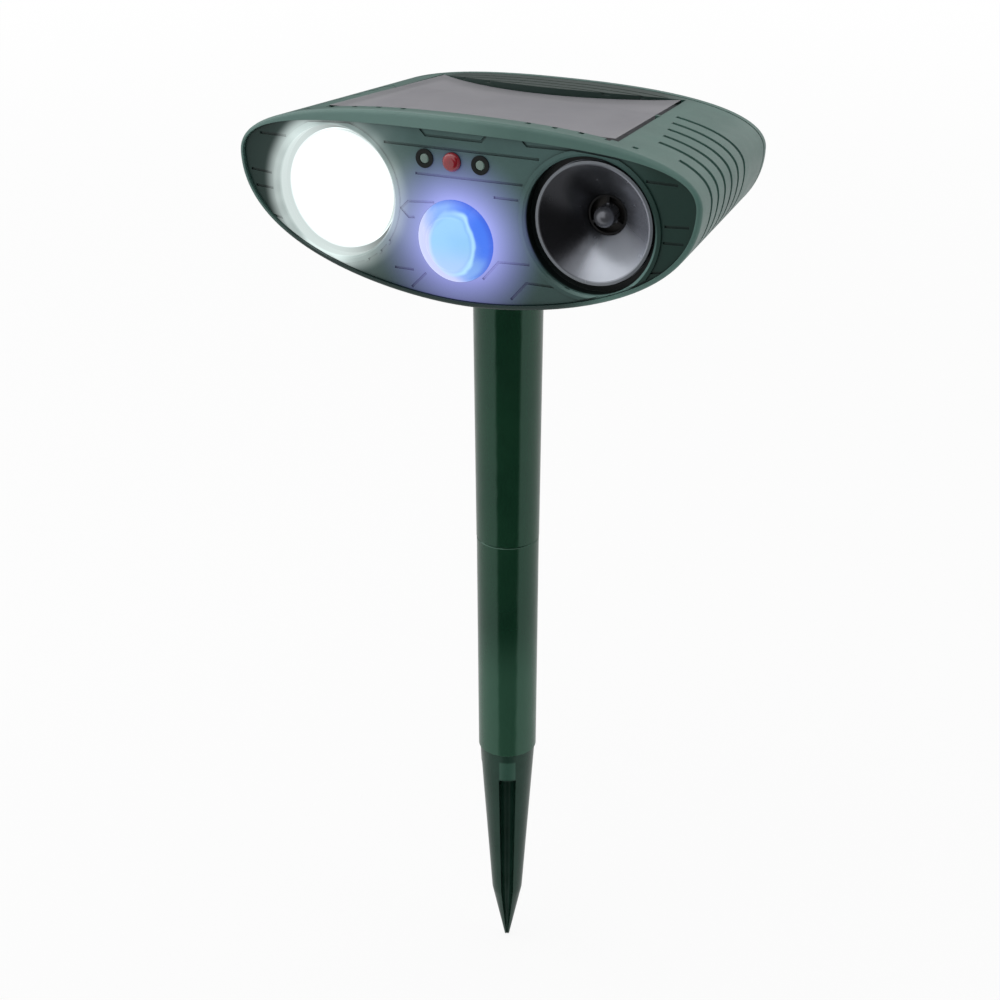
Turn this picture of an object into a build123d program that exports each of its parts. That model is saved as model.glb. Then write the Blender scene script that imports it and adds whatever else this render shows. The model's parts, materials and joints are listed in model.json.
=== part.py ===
"""Solar ultrasonic pest repeller on a two-section pole with a ground spike.

Origin: on the pole's axis at ground level, which is the spike's shoulder. +Z is up and the face looks
to -Y.
All sizes are in millimetres. "Depth" is the distance behind the housing's front rim.
"""
import os
from math import asin, atan2, cos, degrees, radians, sin

from build123d import *

os.makedirs("parts", exist_ok=True)

# ---------------------------------------------------------------- driving dimensions
# Housing outline at its front rim and at its rear rim. Rises and drops are taken from the tips.
HEAD_WIDTH = 160.0
HEAD_RISE = 19.2
HEAD_DROP = 40.9
TIP_Z = 226.5
REAR_WIDTH = 144.4
REAR_RISE = 16.4
REAR_DROP = 39.4
REAR_TIP_Z = 225.8
HEAD_DEPTH = 79.0
POLE_SETBACK = 36.5           # front rim to the pole's axis
WALL = 2.4
LIP_ROUND = 1.4
# Fullness of the outline's four quarter curves: how far each handle reaches along its side.
CROWN, SHOULDER = 0.32, 0.96
BELLY, FLANK = 0.34, 0.76
PANEL_CROWN, PANEL_SHOULDER = 0.66, 0.90

# Front panel.
PANEL_MARGIN = 1.7            # panel pocket in from the housing's sides and keel
BROW = 4.5                    # panel pocket down from the crest
PANEL_RECESS = 1.0
PANEL_THICKNESS = 2.4
PANEL_GAP = 0.15
LEDGE_WIDTH = 1.8
LEDGE_DEPTH = 1.8
ENGRAVING_WIDTH = 0.8
ENGRAVING_DEPTH = 0.5

# Lamp and horn: the two "eyes", each sunk in a round pocket of the panel.
EYE_MARGIN = 35.9             # eye's centre in from the housing's tip
EYE_DROP = 9.3                # below the tips
POCKET_RADIUS = 21.4
POCKET_DEPTH = 5.6            # front rim to the pocket's floor
POCKET_FLOOR = 1.2
TUBE_WALL = 1.4
COLLAR_WIDTH = 2.0
COLLAR_HEIGHT = 0.6
COLLAR_BEVEL = 0.7            # around each pocket's mouth
COLLAR_TEETH = (-37, -49, -63)  # angles of three small teeth on each collar's outer lower edge
COLLAR_TOOTH = (1.4, 1.6)
MOUTH_RADIUS = 18.0           # open mouth of flare and reflector
MOUTH_WALL = 1.3
MOUTH_DEPTH = 4.3             # front rim to the mouth's edge
MOUTH_GAP = 0.3               # floor opening round the mouth's wall
FLANGE_RADIUS = 20.8
FLANGE_THICKNESS = 1.8
EAR_REACH = 24.0              # ears out from the eye's centre, and up
EAR_LIFT = 6.4
EAR_RADIUS = 3.2

# Horn.
THROAT_RADIUS = 6.4
THROAT_DEPTH = 15.4
THROAT_LENGTH = 1.8
FLARE_WALL = 1.4
FLARE_CURVE = 1.2             # how far the cone bows towards its axis
SKIRT_RADIUS = 19.9
CAN_LENGTH = 10.0
PIEZO_RADIUS = 17.5
PIEZO_THICKNESS = 0.6
PIEZO_SINK = 0.8              # skirt's end to the disc
PLUG_RADIUS = 3.4
PLUG_LENGTH = 7.5
PLUG_RING_WALL = 0.6
PLUG_RIB = 0.9

# Lamp.
LENS_THICKNESS = 1.8
LENS_SINK = 0.2
BOWL_LENGTH = 10.0
BOWL_THROAT_RADIUS = 6.5
BOWL_HANDLE = (16.2, 6.5)     # radius and distance behind the lens of the bowl curve's handle
BOWL_BACK_HANDLE = (18.0, 7.5)
LAMP_BOARD_RADIUS = 10.0
LAMP_LED_SIZE = 3.5
LAMP_LED_HEIGHT = 1.2
LAMP_LED_COUNT = 3
LAMP_LED_RING_RADIUS = 3.4
LAMP_LED_ROUND = 0.4

# Motion sensor.
PIR_OFFSET = -1.2
PIR_DROP = 20.0               # below the tips
PIR_RADIUS = 13.2
PIR_DOME = 6.0
PIR_WALL = 1.0
PIR_FLANGE = 1.8
PIR_GAP = 0.1
PIR_CUP_LENGTH = 7.0
PIR_EAR_REACH = 18.6
PIR_CAN_RADIUS = 4.6
PIR_CAN_HEIGHT = 4.2
PIR_BASE = 0.5                # thickness and overhang of the sensor's base
PIR_WINDOW = (4.6, 3.7)
PIR_WINDOW_SINK = 0.2
PIR_LED_RADIUS = 1.5
PIR_LED_ROUND = 1.35
PIR_LED_HEIGHT = 4.5
PIR_LED_RING_RADIUS = 8.4
PIR_LED_COUNT = 4

# Row of three indicators.
SENSOR_OFFSET = -1.9
SENSOR_LIFT = 5.3             # above the tips
SENSOR_PITCH = 9.64
BEZEL_RADIUS = 3.0
BEZEL_BARREL = 2.5
BEZEL_PROUD = 0.5
WINDOW_RADIUS = 1.6
WINDOW_ROUND = 0.45
STATUS_LED_RADIUS = 2.3
STATUS_LED_PROUD = 2.2
STATUS_LED_ROUND = 2.0
STATUS_CAP_ROUND = 1.55
INDICATOR_STANDOFF = 5.0      # panel's back to the indicator board
INDICATOR_BOARD = (34.0, 7.6)
POST_RADIUS = 2.3

# Solar panel, on a plane that falls to the rear with the crest.
SOLAR_SINK = 2.2              # below the crest
SOLAR_SETBACK = 7.4
SOLAR_MARGIN = 3.1            # its rear corners in from the housing's rear rim
SOLAR_WIDTH_FRONT = 98.6
SOLAR_WIDTH_REAR = 88.0
SOLAR_BAY = 15.0              # how far the rear hump reaches into the panel's middle
SOLAR_GAP = 0.6
SOLAR_SIDE_GAP = 1.2          # wider at the window's two sides
SOLAR_NIB = (1.6, 40.0)       # length of the nib that centres the window's side, and its place
SOLAR_WINDOW = 1.5
SOLAR_CELL = 0.5
SOLAR_BACKING = 1.0
SOLAR_PAN_WALL = 1.6
CELL_COLUMNS = 6
CELL_WIDTH = 14.0
CELL_PITCH = 14.6
CELL_MARGIN = 2.0             # solar cells back from the window's front edge
CELL_REAR_MARGIN = 3.5        # and short of its bay

# Grooves and notches in the housing.
GROOVE_FRONT = (11.6, 68.0)   # the front groove's depth, and how far out it starts on the top
GROOVE_COUNT = 5              # the grooves behind it
GROOVE_FIRST = 19.6
GROOVE_PITCH = 8.35
GROOVE_WIDTH = 2.0
GROOVE_DEPTH = 0.8
GROOVE_INNER_REACH = 58.3     # where the first of them starts on the top
GROOVE_STEP = 1.8             # each later groove starts this much further in
GROOVE_LOW = 24.0             # the grooves end this far below the tips
HUMP_GROOVES = (64.5, 69.0, 73.5)
HUMP_GROOVE_WIDTH = 0.7
HUMP_GROOVE_HALF = 40.0
NOTCH_COUNT = 5
NOTCH_FIRST = 21.5
NOTCH_PITCH = 8.7
NOTCH_SIZE = (1.7, 1.8)

# Rear cover and its screws.
GASKET = 0.8
GASKET_INSET = 0.5
COVER_DEPTH = 4.0
COVER_PLATE = 2.4
COVER_ROUND = 1.8
BOSS_RADIUS = 3.8
BOSS_LENGTH = 12.0
REAR_SCREWS = ((65.0, -8.0), (-65.0, -8.0), (28.0, -31.4), (-28.0, -31.4))   # x, height from the tips
SCREW_RADIUS = 1.4
SCREW_HEAD_RADIUS = 2.7
SCREW_HEAD_HEIGHT = 1.8
SCREW_LENGTH = 11.0
SCREW_FIT = 0.05              # hole over shank, on the radius
SMALL_SCREW_RADIUS = 1.1
SMALL_HEAD_RADIUS = 2.1
SMALL_HEAD_HEIGHT = 1.4
SMALL_SCREW_LENGTH = 5.0
HEAD_EDGE = 0.6               # share of a screw head's height that is straight
HEAD_CROWN = 0.7              # share of its radius that is flat

# Main board and what it carries.
BOARD = 1.6
BOARD_STANDOFF = 13.3         # cover plate to the board
MAIN_BOARD = (82.0, 32.0)
MAIN_BOARD_DROP = 10.5        # the board's centre below the tips
BOARD_HOLE_INSET = 4.0
BOARD_POST_RADIUS = 3.0

# On the board's front, right of the battery: x, drop from the tips, size or radius, height.
BOARD_BLOCKS = [
    (25.0, 1.0, (7.0, 7.0), 1.0),
    (14.0, 1.0, (5.0, 6.2), 1.6),
    (28.0, 17.0, (12.5, 10.5), 9.5),
    (12.0, 10.0, (4.0, 5.0), 1.6),
    (-4.0, 20.0, (7.5, 4.5), 5.5),
    (8.0, 20.0, (7.5, 4.5), 5.5),
]
BOARD_CANS = [(24.5, 8.5, 2.6, 8.0), (32.5, 8.5, 2.6, 6.0)]

# Controls.
KNOB_SPACING = 52.0
KNOB_DROP = 11.0
KNOB_RADIUS = 9.0
KNOB_HEIGHT = 6.0
KNOB_GAP = 0.4
KNOB_FLUTES = 12
FLUTE_RADIUS = 1.1
KNOB_MARK = 0.5
KNOB_MARK_LENGTH = 7.2
KNOB_CHAMFER = 0.5
KNOB_BORE = 4.2               # how deep the shaft sits in the knob
POT_SIZE = (9.8, 11.2)
POT_HEIGHT = 6.8
POT_NECK_RADIUS = 3.4
POT_NECK_LENGTH = 5.6
SHAFT_RADIUS = 2.0
SHAFT_FIT = 0.05
SHAFT_HOLE_GAP = 1.0
BUTTON_DROP = 4.0
BUTTON_RADIUS = 5.0
BUTTON_PROUD = 1.8
BUTTON_GAP = 0.25
BUTTON_TRAVEL = 1.2
BUTTON_FLANGE = 1.2
BUTTON_ROUND = 0.7
SWITCH_SIZE = 6.2
SWITCH_HEIGHT = 4.0
SWITCH_ROUND = 0.5
PLUNGER_RADIUS = 1.7
PLUNGER_PROUD = 3.3
PLUNGER_GRIP = 1.2            # length of the plunger inside the switch
PLUNGER_SPARE = 0.2           # left below the plunger when pressed
USB_DROP = 26.0
USB_SIZE = (9.2, 3.4)
USB_WALL = 0.4
USB_ROUND = 1.5
USB_TONGUE = (6.2, 0.8)
PORT_SIZE = (11.6, 6.2)
FLAP_SIZE = (15.0, 9.6)
FLAP_THICKNESS = 1.8
FLAP_GAP = 0.2
FLAP_PLUG = 1.0
FLAP_ROUND = 1.2
HINGE_RADIUS = 1.5
HINGE_LENGTH = 8.0
HINGE_EAR = 1.6
HINGE_CLEAR = 0.85            # flap's top edge below the barrel, clear of the ears' corners as it swings
HINGE_PIN_RADIUS = 0.6

# Battery.
CELL_RADIUS = 7.0
CELL_LENGTH = 28.5
CELL_COUNT = 3
CELL_SPACING = 14.8
CELL_SHIFT = 3.9              # the middle cell in from the lamp's axis
CELL_DROP = 8.5               # below the tips
CELL_DEPTH = 20.4             # front rim to the cells' front ends
HOLDER_WALL = 1.2
CONTACT = 0.5
CELL_ROUND = 0.6
PILLAR_RADIUS = 3.4
PILLAR_DEPTHS = (25.0, 45.0)

# Pole, bush and spike.
HEAD_GAP = 2.6                # keel to the top of the upper pole
UPPER_TOP_RADIUS = 12.0
UPPER_FOOT_RADIUS = 11.25
LOWER_TOP_RADIUS = 11.15
LOWER_FOOT_RADIUS = 10.8
POLE_WALL = 1.8
POLE_SPLIT = 88.0
POLE_CHAMFER = 0.4
SPIGOT_LENGTH = 22.0
SPIGOT_WALL = 1.8
SPIGOT_CHAMFER = 0.5
FIT = 0.06                    # running fit, on the radius
BUSH_WALL = 2.4
BUSH_TOP = 2.0
BUSH_SEAT = 1.0               # the bush's collar ends this far up inside the keel
SOCKET_WALL = 2.0
SPIKE_RADIUS = 10.3
SPIKE_KNEE_RADIUS = 5.8
SPIKE_KNEE = 67.0
SPIKE_LENGTH = 91.0
SPIKE_POINT = 0.9
FLUTE_COUNT = 3
FLUTE_START = 11.6
FLUTE_TURN = -64.0
FLUTE_TOP = (6.4, 6.2)        # the flute's width and distance from the axis where it starts
FLUTE_KNEE = (4.6, 3.9)
FLUTE_POINT = (0.6, 0.75)
TAB_WIDTH = 6.2
TAB_START = 3.2
TAB_PROUD = 0.45
TAB_ROUND = 2.2

# ---------------------------------------------------------------- worked-out places
FRONT_Y = -POLE_SETBACK
EYE_X = HEAD_WIDTH / 2 - EYE_MARGIN
EYE_Z = TIP_Z - EYE_DROP
PIR_Z = TIP_Z - PIR_DROP
SENSOR_Z = TIP_Z + SENSOR_LIFT
PANEL_BACK = PANEL_RECESS + PANEL_THICKNESS
FLOOR_BACK = POCKET_DEPTH + POCKET_FLOOR
FLANGE_BACK = FLOOR_BACK + FLANGE_THICKNESS
THROAT_BACK = THROAT_DEPTH + THROAT_LENGTH
COVER_FRONT = HEAD_DEPTH + GASKET
COVER_BACK = COVER_FRONT + COVER_DEPTH
COVER_INSIDE = COVER_BACK - COVER_PLATE
BOARD_BACK = COVER_INSIDE - BOARD_STANDOFF
BOARD_FRONT = BOARD_BACK - BOARD
KNOB_Z = TIP_Z - KNOB_DROP
BUTTON_Z = TIP_Z - BUTTON_DROP
USB_Z = TIP_Z - USB_DROP
HINGE_DEPTH = COVER_BACK + FLAP_GAP + HINGE_RADIUS
HINGE_Z = USB_Z + FLAP_SIZE[1] / 2 + HINGE_CLEAR + HINGE_RADIUS
HINGE_PLANE = Plane(origin=(0, FRONT_Y + HINGE_DEPTH, HINGE_Z), x_dir=(0, 1, 0), z_dir=(1, 0, 0))
CELL_Z = TIP_Z - CELL_DROP
KEEL_Z = TIP_Z - HEAD_DROP
POLE_TOP = KEEL_Z - HEAD_GAP
SPIGOT_RADIUS = UPPER_TOP_RADIUS - POLE_WALL
BUSH_RADIUS = SPIGOT_RADIUS + FIT + BUSH_WALL
SOCKET_BORE = BUSH_RADIUS + FIT
BUSH_END = POLE_TOP + SPIGOT_LENGTH + BUSH_TOP
SOCKET_TOP = BUSH_END + SOCKET_WALL
SOLAR_LENGTH = HEAD_DEPTH - SOLAR_SETBACK - SOLAR_MARGIN
CELL_SIZE = (CELL_WIDTH, SOLAR_LENGTH - SOLAR_BAY - CELL_MARGIN - CELL_REAR_MARGIN)
CREST_FALL = degrees(atan2(TIP_Z + HEAD_RISE - REAR_TIP_Z - REAR_RISE, HEAD_DEPTH))
EYES = [(-EYE_X, EYE_Z), (EYE_X, EYE_Z)]
EAR_PLACES = [(x + side * EAR_REACH, EYE_Z + EAR_LIFT) for x in (-EYE_X, EYE_X) for side in (-1, 1)]
PIR_EARS = [(PIR_OFFSET + side * PIR_EAR_REACH, PIR_Z) for side in (-1, 1)]
SENSOR_PLACES = [(SENSOR_OFFSET + step * SENSOR_PITCH, SENSOR_Z) for step in (-1, 0, 1)]
POST_REACH = INDICATOR_BOARD[0] / 2 - POST_RADIUS
SENSOR_POSTS = [(SENSOR_OFFSET + side * POST_REACH, SENSOR_Z) for side in (-1, 1)]
KNOB_PLACES = {"frequency": (-KNOB_SPACING / 2, KNOB_Z), "sensitivity": (KNOB_SPACING / 2, KNOB_Z)}
REAR_SCREW_PLACES = [(x, TIP_Z + height) for x, height in REAR_SCREWS]
BOARD_CENTRE = (0, TIP_Z - MAIN_BOARD_DROP)
BOARD_HOLES = [
    (BOARD_CENTRE[0] + i * (MAIN_BOARD[0] / 2 - BOARD_HOLE_INSET),
     BOARD_CENTRE[1] + j * (MAIN_BOARD[1] / 2 - BOARD_HOLE_INSET))
    for i in (-1, 1) for j in (-1, 1)
]
HOLDER_MIDDLE = CELL_SHIFT - EYE_X
CELL_FIRST = HOLDER_MIDDLE - CELL_SPACING * (CELL_COUNT - 1) / 2
CELL_PLACES = [(CELL_FIRST + step * CELL_SPACING, CELL_Z) for step in range(CELL_COUNT)]

# Engraved lines of the front panel: x, height from the tips.
ENGRAVED_LINES = [
    [(-13.1, 14.4), (-11.2, 12.5), (8.0, 12.6), (9.6, 14.4)],
    [(21.9, 14.4), (23.4, 13.0), (38.0, 13.4)],
    [(-26.0, 8.8), (27.4, 9.3)],
    [(-15.0, 0.2), (22.0, 0.8)],
    [(12.2, -4.2), (20.6, -4.1)],
    [(-8.5, -8.3), (-17.8, -9.1), (-20.4, -11.7), (-17.7, -14.2), (-15.6, -14.0)],
    [(8.4, -31.0), (13.9, -24.6), (24.5, -24.0)],
    [(18.2, -36.2), (23.6, -30.0), (38.1, -29.8)],
    [(-17.1, -37.2), (-11.8, -31.8)],
    [(-23.2, -31.4), (-16.3, -31.3)],
    [(62.0, 6.8), (71.9, 6.8)],
    [(68.3, -6.0), (76.0, -5.4)],
    [(68.0, -11.0), (74.5, -10.7)],
    [(63.5, -20.8), (70.5, -19.9)],
    [(-62.0, 6.8), (-71.9, 6.8)],
    [(-68.3, -6.0), (-76.0, -5.4)],
    [(-68.0, -11.0), (-74.5, -10.7)],
    [(-63.5, -20.8), (-70.5, -19.9)],
]


# ---------------------------------------------------------------- shared shapes
def across(depth):
    """Plane across the head at a depth behind the front rim: x is X, y is Z, and the normal is -Y."""
    return Plane.XZ.offset(-(FRONT_Y + depth))


def along(x, z):
    """Plane for a profile turned about the axis along Y through x, z: x is the radius, y the depth."""
    return Plane(origin=(x, FRONT_Y, z), x_dir=(1, 0, 0), z_dir=(0, 0, 1))


def spin(x, z):
    """Axis along Y through x, z."""
    return Axis((x, FRONT_Y, z), (0, 1, 0))


def eye_outline(depth, half_width, rise, drop, tip_z, crown, shoulder):
    """Eye-shaped face across the head, made of four quarter curves."""
    with BuildSketch(across(depth)) as face:
        with BuildLine():
            for side in (-1, 1):
                width = side * half_width
                Bezier((0, tip_z + rise), (crown * width, tip_z + rise),
                       (width, tip_z + shoulder * rise), (width, tip_z))
                Bezier((width, tip_z), (width, tip_z - FLANK * drop),
                       (BELLY * width, tip_z - drop), (0, tip_z - drop))
        make_face()
    return face.sketch


def head_section(depth, inset=0.0):
    """The tapering housing's section at a depth, moved inwards by an inset."""
    share = depth / HEAD_DEPTH
    half_width = (HEAD_WIDTH + share * (REAR_WIDTH - HEAD_WIDTH)) / 2
    rise = HEAD_RISE + share * (REAR_RISE - HEAD_RISE)
    drop = HEAD_DROP + share * (REAR_DROP - HEAD_DROP)
    tip_z = TIP_Z + share * (REAR_TIP_Z - TIP_Z)
    return eye_outline(depth, half_width - inset, rise - inset, drop - inset, tip_z, CROWN, SHOULDER)


def panel_section(depth, inset=0.0):
    """The front panel pocket's outline, moved inwards by an inset."""
    margin = PANEL_MARGIN + inset
    return eye_outline(depth, HEAD_WIDTH / 2 - margin, HEAD_RISE - BROW - inset, HEAD_DROP - margin,
                       TIP_Z, PANEL_CROWN, PANEL_SHOULDER)


def solar_plane(sunk=0.0):
    """Plane of the solar window's front edge, parallel to the crest, moved down by sunk."""
    fall = radians(CREST_FALL)
    crest = TIP_Z + HEAD_RISE - SOLAR_SETBACK * sin(fall) / cos(fall)
    base = Plane(origin=(0, FRONT_Y + SOLAR_SETBACK, crest - SOLAR_SINK), x_dir=(1, 0, 0),
                 z_dir=(0, sin(fall), cos(fall)))
    return base.offset(-sunk)


def solar_outline(sunk, grow=0.0, side_grow=0.0):
    """Solar window's face: straight front and sides, and a rear edge that bays inwards."""
    front, rear = SOLAR_WIDTH_FRONT / 2 + grow + side_grow, SOLAR_WIDTH_REAR / 2 + grow + side_grow
    back = SOLAR_LENGTH + grow
    corner = back + side_grow
    with BuildSketch(solar_plane(sunk)) as face:
        with BuildLine():
            Polyline((-rear, corner), (-front, -grow), (front, -grow), (rear, corner))
            ThreePointArc((rear, corner), (0, back - SOLAR_BAY), (-rear, corner))
        make_face()
    return face.sketch


def eared_disc(x, depth, thickness, radius):
    """Disc across the head with a screw ear at each side."""
    with BuildPart() as disc:
        with BuildSketch(across(depth)):
            with Locations((x, EYE_Z)):
                Circle(radius)
            with Locations((x, EYE_Z + EAR_LIFT)):
                SlotCenterToCenter(2 * EAR_REACH, 2 * EAR_RADIUS)
        extrude(amount=-thickness)
        with BuildSketch(across(depth)):
            with Locations((x - EAR_REACH, EYE_Z + EAR_LIFT), (x + EAR_REACH, EYE_Z + EAR_LIFT)):
                Circle(SMALL_SCREW_RADIUS + SCREW_FIT)
        extrude(amount=-thickness, mode=Mode.SUBTRACT)
    return disc.part


def screws(places, seat, length, radius, head_radius, head_height, towards_front=True):
    """Pan-head screws along Y at the places, heads standing on the seat depth."""
    way = -1 if towards_front else 1
    with BuildPart() as group:
        for x, z in places:
            with BuildSketch(along(x, z)):
                with BuildLine():
                    Polyline((0, seat + way * length), (radius, seat + way * length), (radius, seat),
                             (head_radius, seat), (head_radius, seat - way * head_height * HEAD_EDGE),
                             (head_radius * HEAD_CROWN, seat - way * head_height),
                             (0, seat - way * head_height), (0, seat + way * length))
                make_face()
            revolve(axis=spin(x, z))
    return group.part


def save(piece, name):
    """Label a finished piece and write its file."""
    piece.label = name
    export_step(piece, f"parts/{name}.step")


# ---------------------------------------------------------------- housing
with BuildPart() as housing_form:
    loft([head_section(0), head_section(HEAD_DEPTH)])
    fillet(housing_form.edges().group_by(Axis.Y)[0], LIP_ROUND)

SIDE_GROOVES = [GROOVE_FRONT] + [
    (GROOVE_FIRST + index * GROOVE_PITCH, GROOVE_INNER_REACH - index * GROOVE_STEP)
    for index in range(GROOVE_COUNT)]
with BuildPart() as surface_cutters:
    for side in (-1, 1):
        for depth, start in SIDE_GROOVES:
            with BuildSketch(across(depth - GROOVE_WIDTH / 2)):
                with Locations((side * start, TIP_Z - GROOVE_LOW)):
                    Rectangle(HEAD_WIDTH, HEAD_DROP + HEAD_RISE,
                              align=(Align.MIN if side > 0 else Align.MAX, Align.MIN))
            extrude(amount=-GROOVE_WIDTH)
        for index in range(NOTCH_COUNT):
            with BuildSketch(across(SOLAR_SETBACK - SOLAR_GAP - NOTCH_SIZE[1])):
                with Locations((side * (NOTCH_FIRST + index * NOTCH_PITCH), TIP_Z)):
                    Rectangle(NOTCH_SIZE[0], 2 * HEAD_RISE)
            extrude(amount=-NOTCH_SIZE[1])
    for depth in HUMP_GROOVES:
        with BuildSketch(across(depth)):
            with Locations((0, TIP_Z)):
                Rectangle(2 * HUMP_GROOVE_HALF, 2 * HEAD_RISE, align=(Align.CENTER, Align.MIN))
        extrude(amount=-HUMP_GROOVE_WIDTH)
    loft([head_section(-LIP_ROUND, GROOVE_DEPTH), head_section(HEAD_DEPTH, GROOVE_DEPTH)],
         mode=Mode.SUBTRACT)

SOLAR_PAN = SOLAR_WINDOW + SOLAR_CELL + SOLAR_BACKING
PAN_GAPS = (SOLAR_GAP, SOLAR_SIDE_GAP - SOLAR_GAP)
PAN_OUTSIDE = (SOLAR_GAP + SOLAR_PAN_WALL, SOLAR_SIDE_GAP - SOLAR_GAP)
NIB_SHARE = SOLAR_NIB[1] / SOLAR_LENGTH
NIB_WIDTH = SOLAR_WIDTH_FRONT + NIB_SHARE * (SOLAR_WIDTH_REAR - SOLAR_WIDTH_FRONT)
NIB_X = (NIB_WIDTH + SOLAR_SIDE_GAP) / 2 + PANEL_GAP
with BuildPart() as housing_works:
    extrude(solar_outline(SOLAR_PAN, *PAN_OUTSIDE), amount=-SOLAR_PAN_WALL)
    extrude(solar_outline(SOLAR_PAN, *PAN_OUTSIDE), amount=HEAD_RISE)
    with BuildSketch(Plane.XY.offset(KEEL_Z)):
        Circle(SOCKET_BORE + SOCKET_WALL)
    extrude(amount=SOCKET_TOP - KEEL_Z)
    with BuildSketch(across(HEAD_DEPTH)):
        for x, z in REAR_SCREW_PLACES:
            with Locations((x, z)):
                Circle(BOSS_RADIUS)
    extrude(amount=BOSS_LENGTH)
    for depth in PILLAR_DEPTHS:
        with BuildSketch(Plane.XY.offset(KEEL_Z)):
            with Locations((HOLDER_MIDDLE, FRONT_Y + depth)):
                Circle(PILLAR_RADIUS)
        extrude(amount=CELL_Z - CELL_RADIUS - HOLDER_WALL - KEEL_Z)
    add(housing_form.part, mode=Mode.INTERSECT)

with BuildPart() as housing_shell:
    add(housing_form.part)
    cavity_front = PANEL_BACK + LEDGE_DEPTH
    loft([head_section(cavity_front, WALL), head_section(HEAD_DEPTH, WALL)], mode=Mode.SUBTRACT)
    extrude(panel_section(0), amount=-PANEL_BACK, mode=Mode.SUBTRACT)
    extrude(panel_section(0, LEDGE_WIDTH), amount=-cavity_front, mode=Mode.SUBTRACT)
    add(housing_works.part)
    with BuildSketch(across(PANEL_BACK)):
        with Locations(*EYES):
            Circle(POCKET_RADIUS + TUBE_WALL + PANEL_GAP)
    extrude(amount=-(FLOOR_BACK - PANEL_BACK), mode=Mode.SUBTRACT)
    extrude(solar_outline(SOLAR_PAN, *PAN_GAPS), amount=HEAD_RISE, mode=Mode.SUBTRACT)
    with BuildSketch(solar_plane(SOLAR_PAN)):
        with Locations((-NIB_X, SOLAR_NIB[1]), (NIB_X, SOLAR_NIB[1])):
            Rectangle(SOLAR_SIDE_GAP, SOLAR_NIB[0])
    extrude(amount=SOLAR_PAN)
    with BuildSketch(Plane.XY.offset(KEEL_Z - HEAD_GAP)):
        Circle(SOCKET_BORE)
    extrude(amount=BUSH_END + FIT - KEEL_Z + HEAD_GAP, mode=Mode.SUBTRACT)
    with BuildSketch(across(HEAD_DEPTH)):
        with Locations(*REAR_SCREW_PLACES):
            Circle(SCREW_RADIUS + SCREW_FIT)
    extrude(amount=BOSS_LENGTH, mode=Mode.SUBTRACT)
    add(surface_cutters.part, mode=Mode.SUBTRACT)
save(housing_shell.part, "housing_shell")

with BuildPart() as front_panel:
    extrude(panel_section(PANEL_RECESS, PANEL_GAP), amount=-PANEL_THICKNESS)
    with BuildSketch(across(PANEL_RECESS - COLLAR_HEIGHT)):
        with Locations(*EYES):
            Circle(POCKET_RADIUS + COLLAR_WIDTH)
            for angle in COLLAR_TEETH:
                with PolarLocations(POCKET_RADIUS + COLLAR_WIDTH, 1, start_angle=angle):
                    Rectangle(*COLLAR_TOOTH)
        add(panel_section(PANEL_RECESS - COLLAR_HEIGHT, PANEL_GAP + COLLAR_HEIGHT), mode=Mode.INTERSECT)
    extrude(amount=-COLLAR_HEIGHT)
    with BuildSketch(across(PANEL_BACK)):
        with Locations(*EYES):
            Circle(POCKET_RADIUS + TUBE_WALL)
        with Locations(*EAR_PLACES):
            Circle(EAR_RADIUS)
    extrude(amount=-(FLOOR_BACK - PANEL_BACK))
    with BuildSketch(across(PANEL_BACK)):
        with Locations(*PIR_EARS):
            Circle(EAR_RADIUS)
    extrude(amount=-(PIR_FLANGE + PIR_CUP_LENGTH - FLANGE_THICKNESS))
    with BuildSketch(across(PANEL_BACK)):
        with Locations(*SENSOR_POSTS):
            Circle(POST_RADIUS)
    extrude(amount=-INDICATOR_STANDOFF)
    # pockets, windows and screw pilots
    with BuildSketch(across(PANEL_RECESS - COLLAR_HEIGHT)):
        with Locations(*EYES):
            Circle(POCKET_RADIUS)
    extrude(amount=-(POCKET_DEPTH - PANEL_RECESS + COLLAR_HEIGHT), mode=Mode.SUBTRACT)
    for x, z in EYES:
        mouth = PANEL_RECESS - COLLAR_HEIGHT
        with BuildSketch(along(x, z)):
            Polygon((POCKET_RADIUS - COLLAR_BEVEL, mouth), (POCKET_RADIUS + COLLAR_BEVEL, mouth),
                    (POCKET_RADIUS - COLLAR_BEVEL, mouth + 2 * COLLAR_BEVEL), align=None)
        revolve(axis=spin(x, z), mode=Mode.SUBTRACT)
    with BuildSketch(across(PANEL_RECESS)):
        with Locations(*EYES):
            Circle(MOUTH_RADIUS + MOUTH_WALL + MOUTH_GAP)
        with Locations((PIR_OFFSET, PIR_Z)):
            Circle(PIR_RADIUS + PIR_GAP)
        with Locations(*SENSOR_PLACES):
            Circle(BEZEL_BARREL + PIR_GAP)
    extrude(amount=-FLOOR_BACK, mode=Mode.SUBTRACT)
    with BuildSketch(across(PANEL_BACK)):
        with Locations(*EAR_PLACES, *PIR_EARS, *SENSOR_POSTS):
            Circle(SMALL_SCREW_RADIUS + SCREW_FIT)
    extrude(amount=-(PIR_FLANGE + PIR_CUP_LENGTH), mode=Mode.SUBTRACT)
    with BuildSketch(across(PANEL_RECESS)):
        for points in ENGRAVED_LINES:
            with BuildLine():
                Polyline(*[(x, TIP_Z + height) for x, height in points])
            trace(line_width=ENGRAVING_WIDTH)
    extrude(amount=-ENGRAVING_DEPTH, mode=Mode.SUBTRACT)
save(front_panel.part, "front_panel")

with BuildPart() as rear_gasket:
    extrude(head_section(HEAD_DEPTH, GASKET_INSET), amount=-GASKET)
    extrude(head_section(HEAD_DEPTH, WALL), amount=-GASKET, mode=Mode.SUBTRACT)
save(rear_gasket.part, "rear_gasket")

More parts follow.
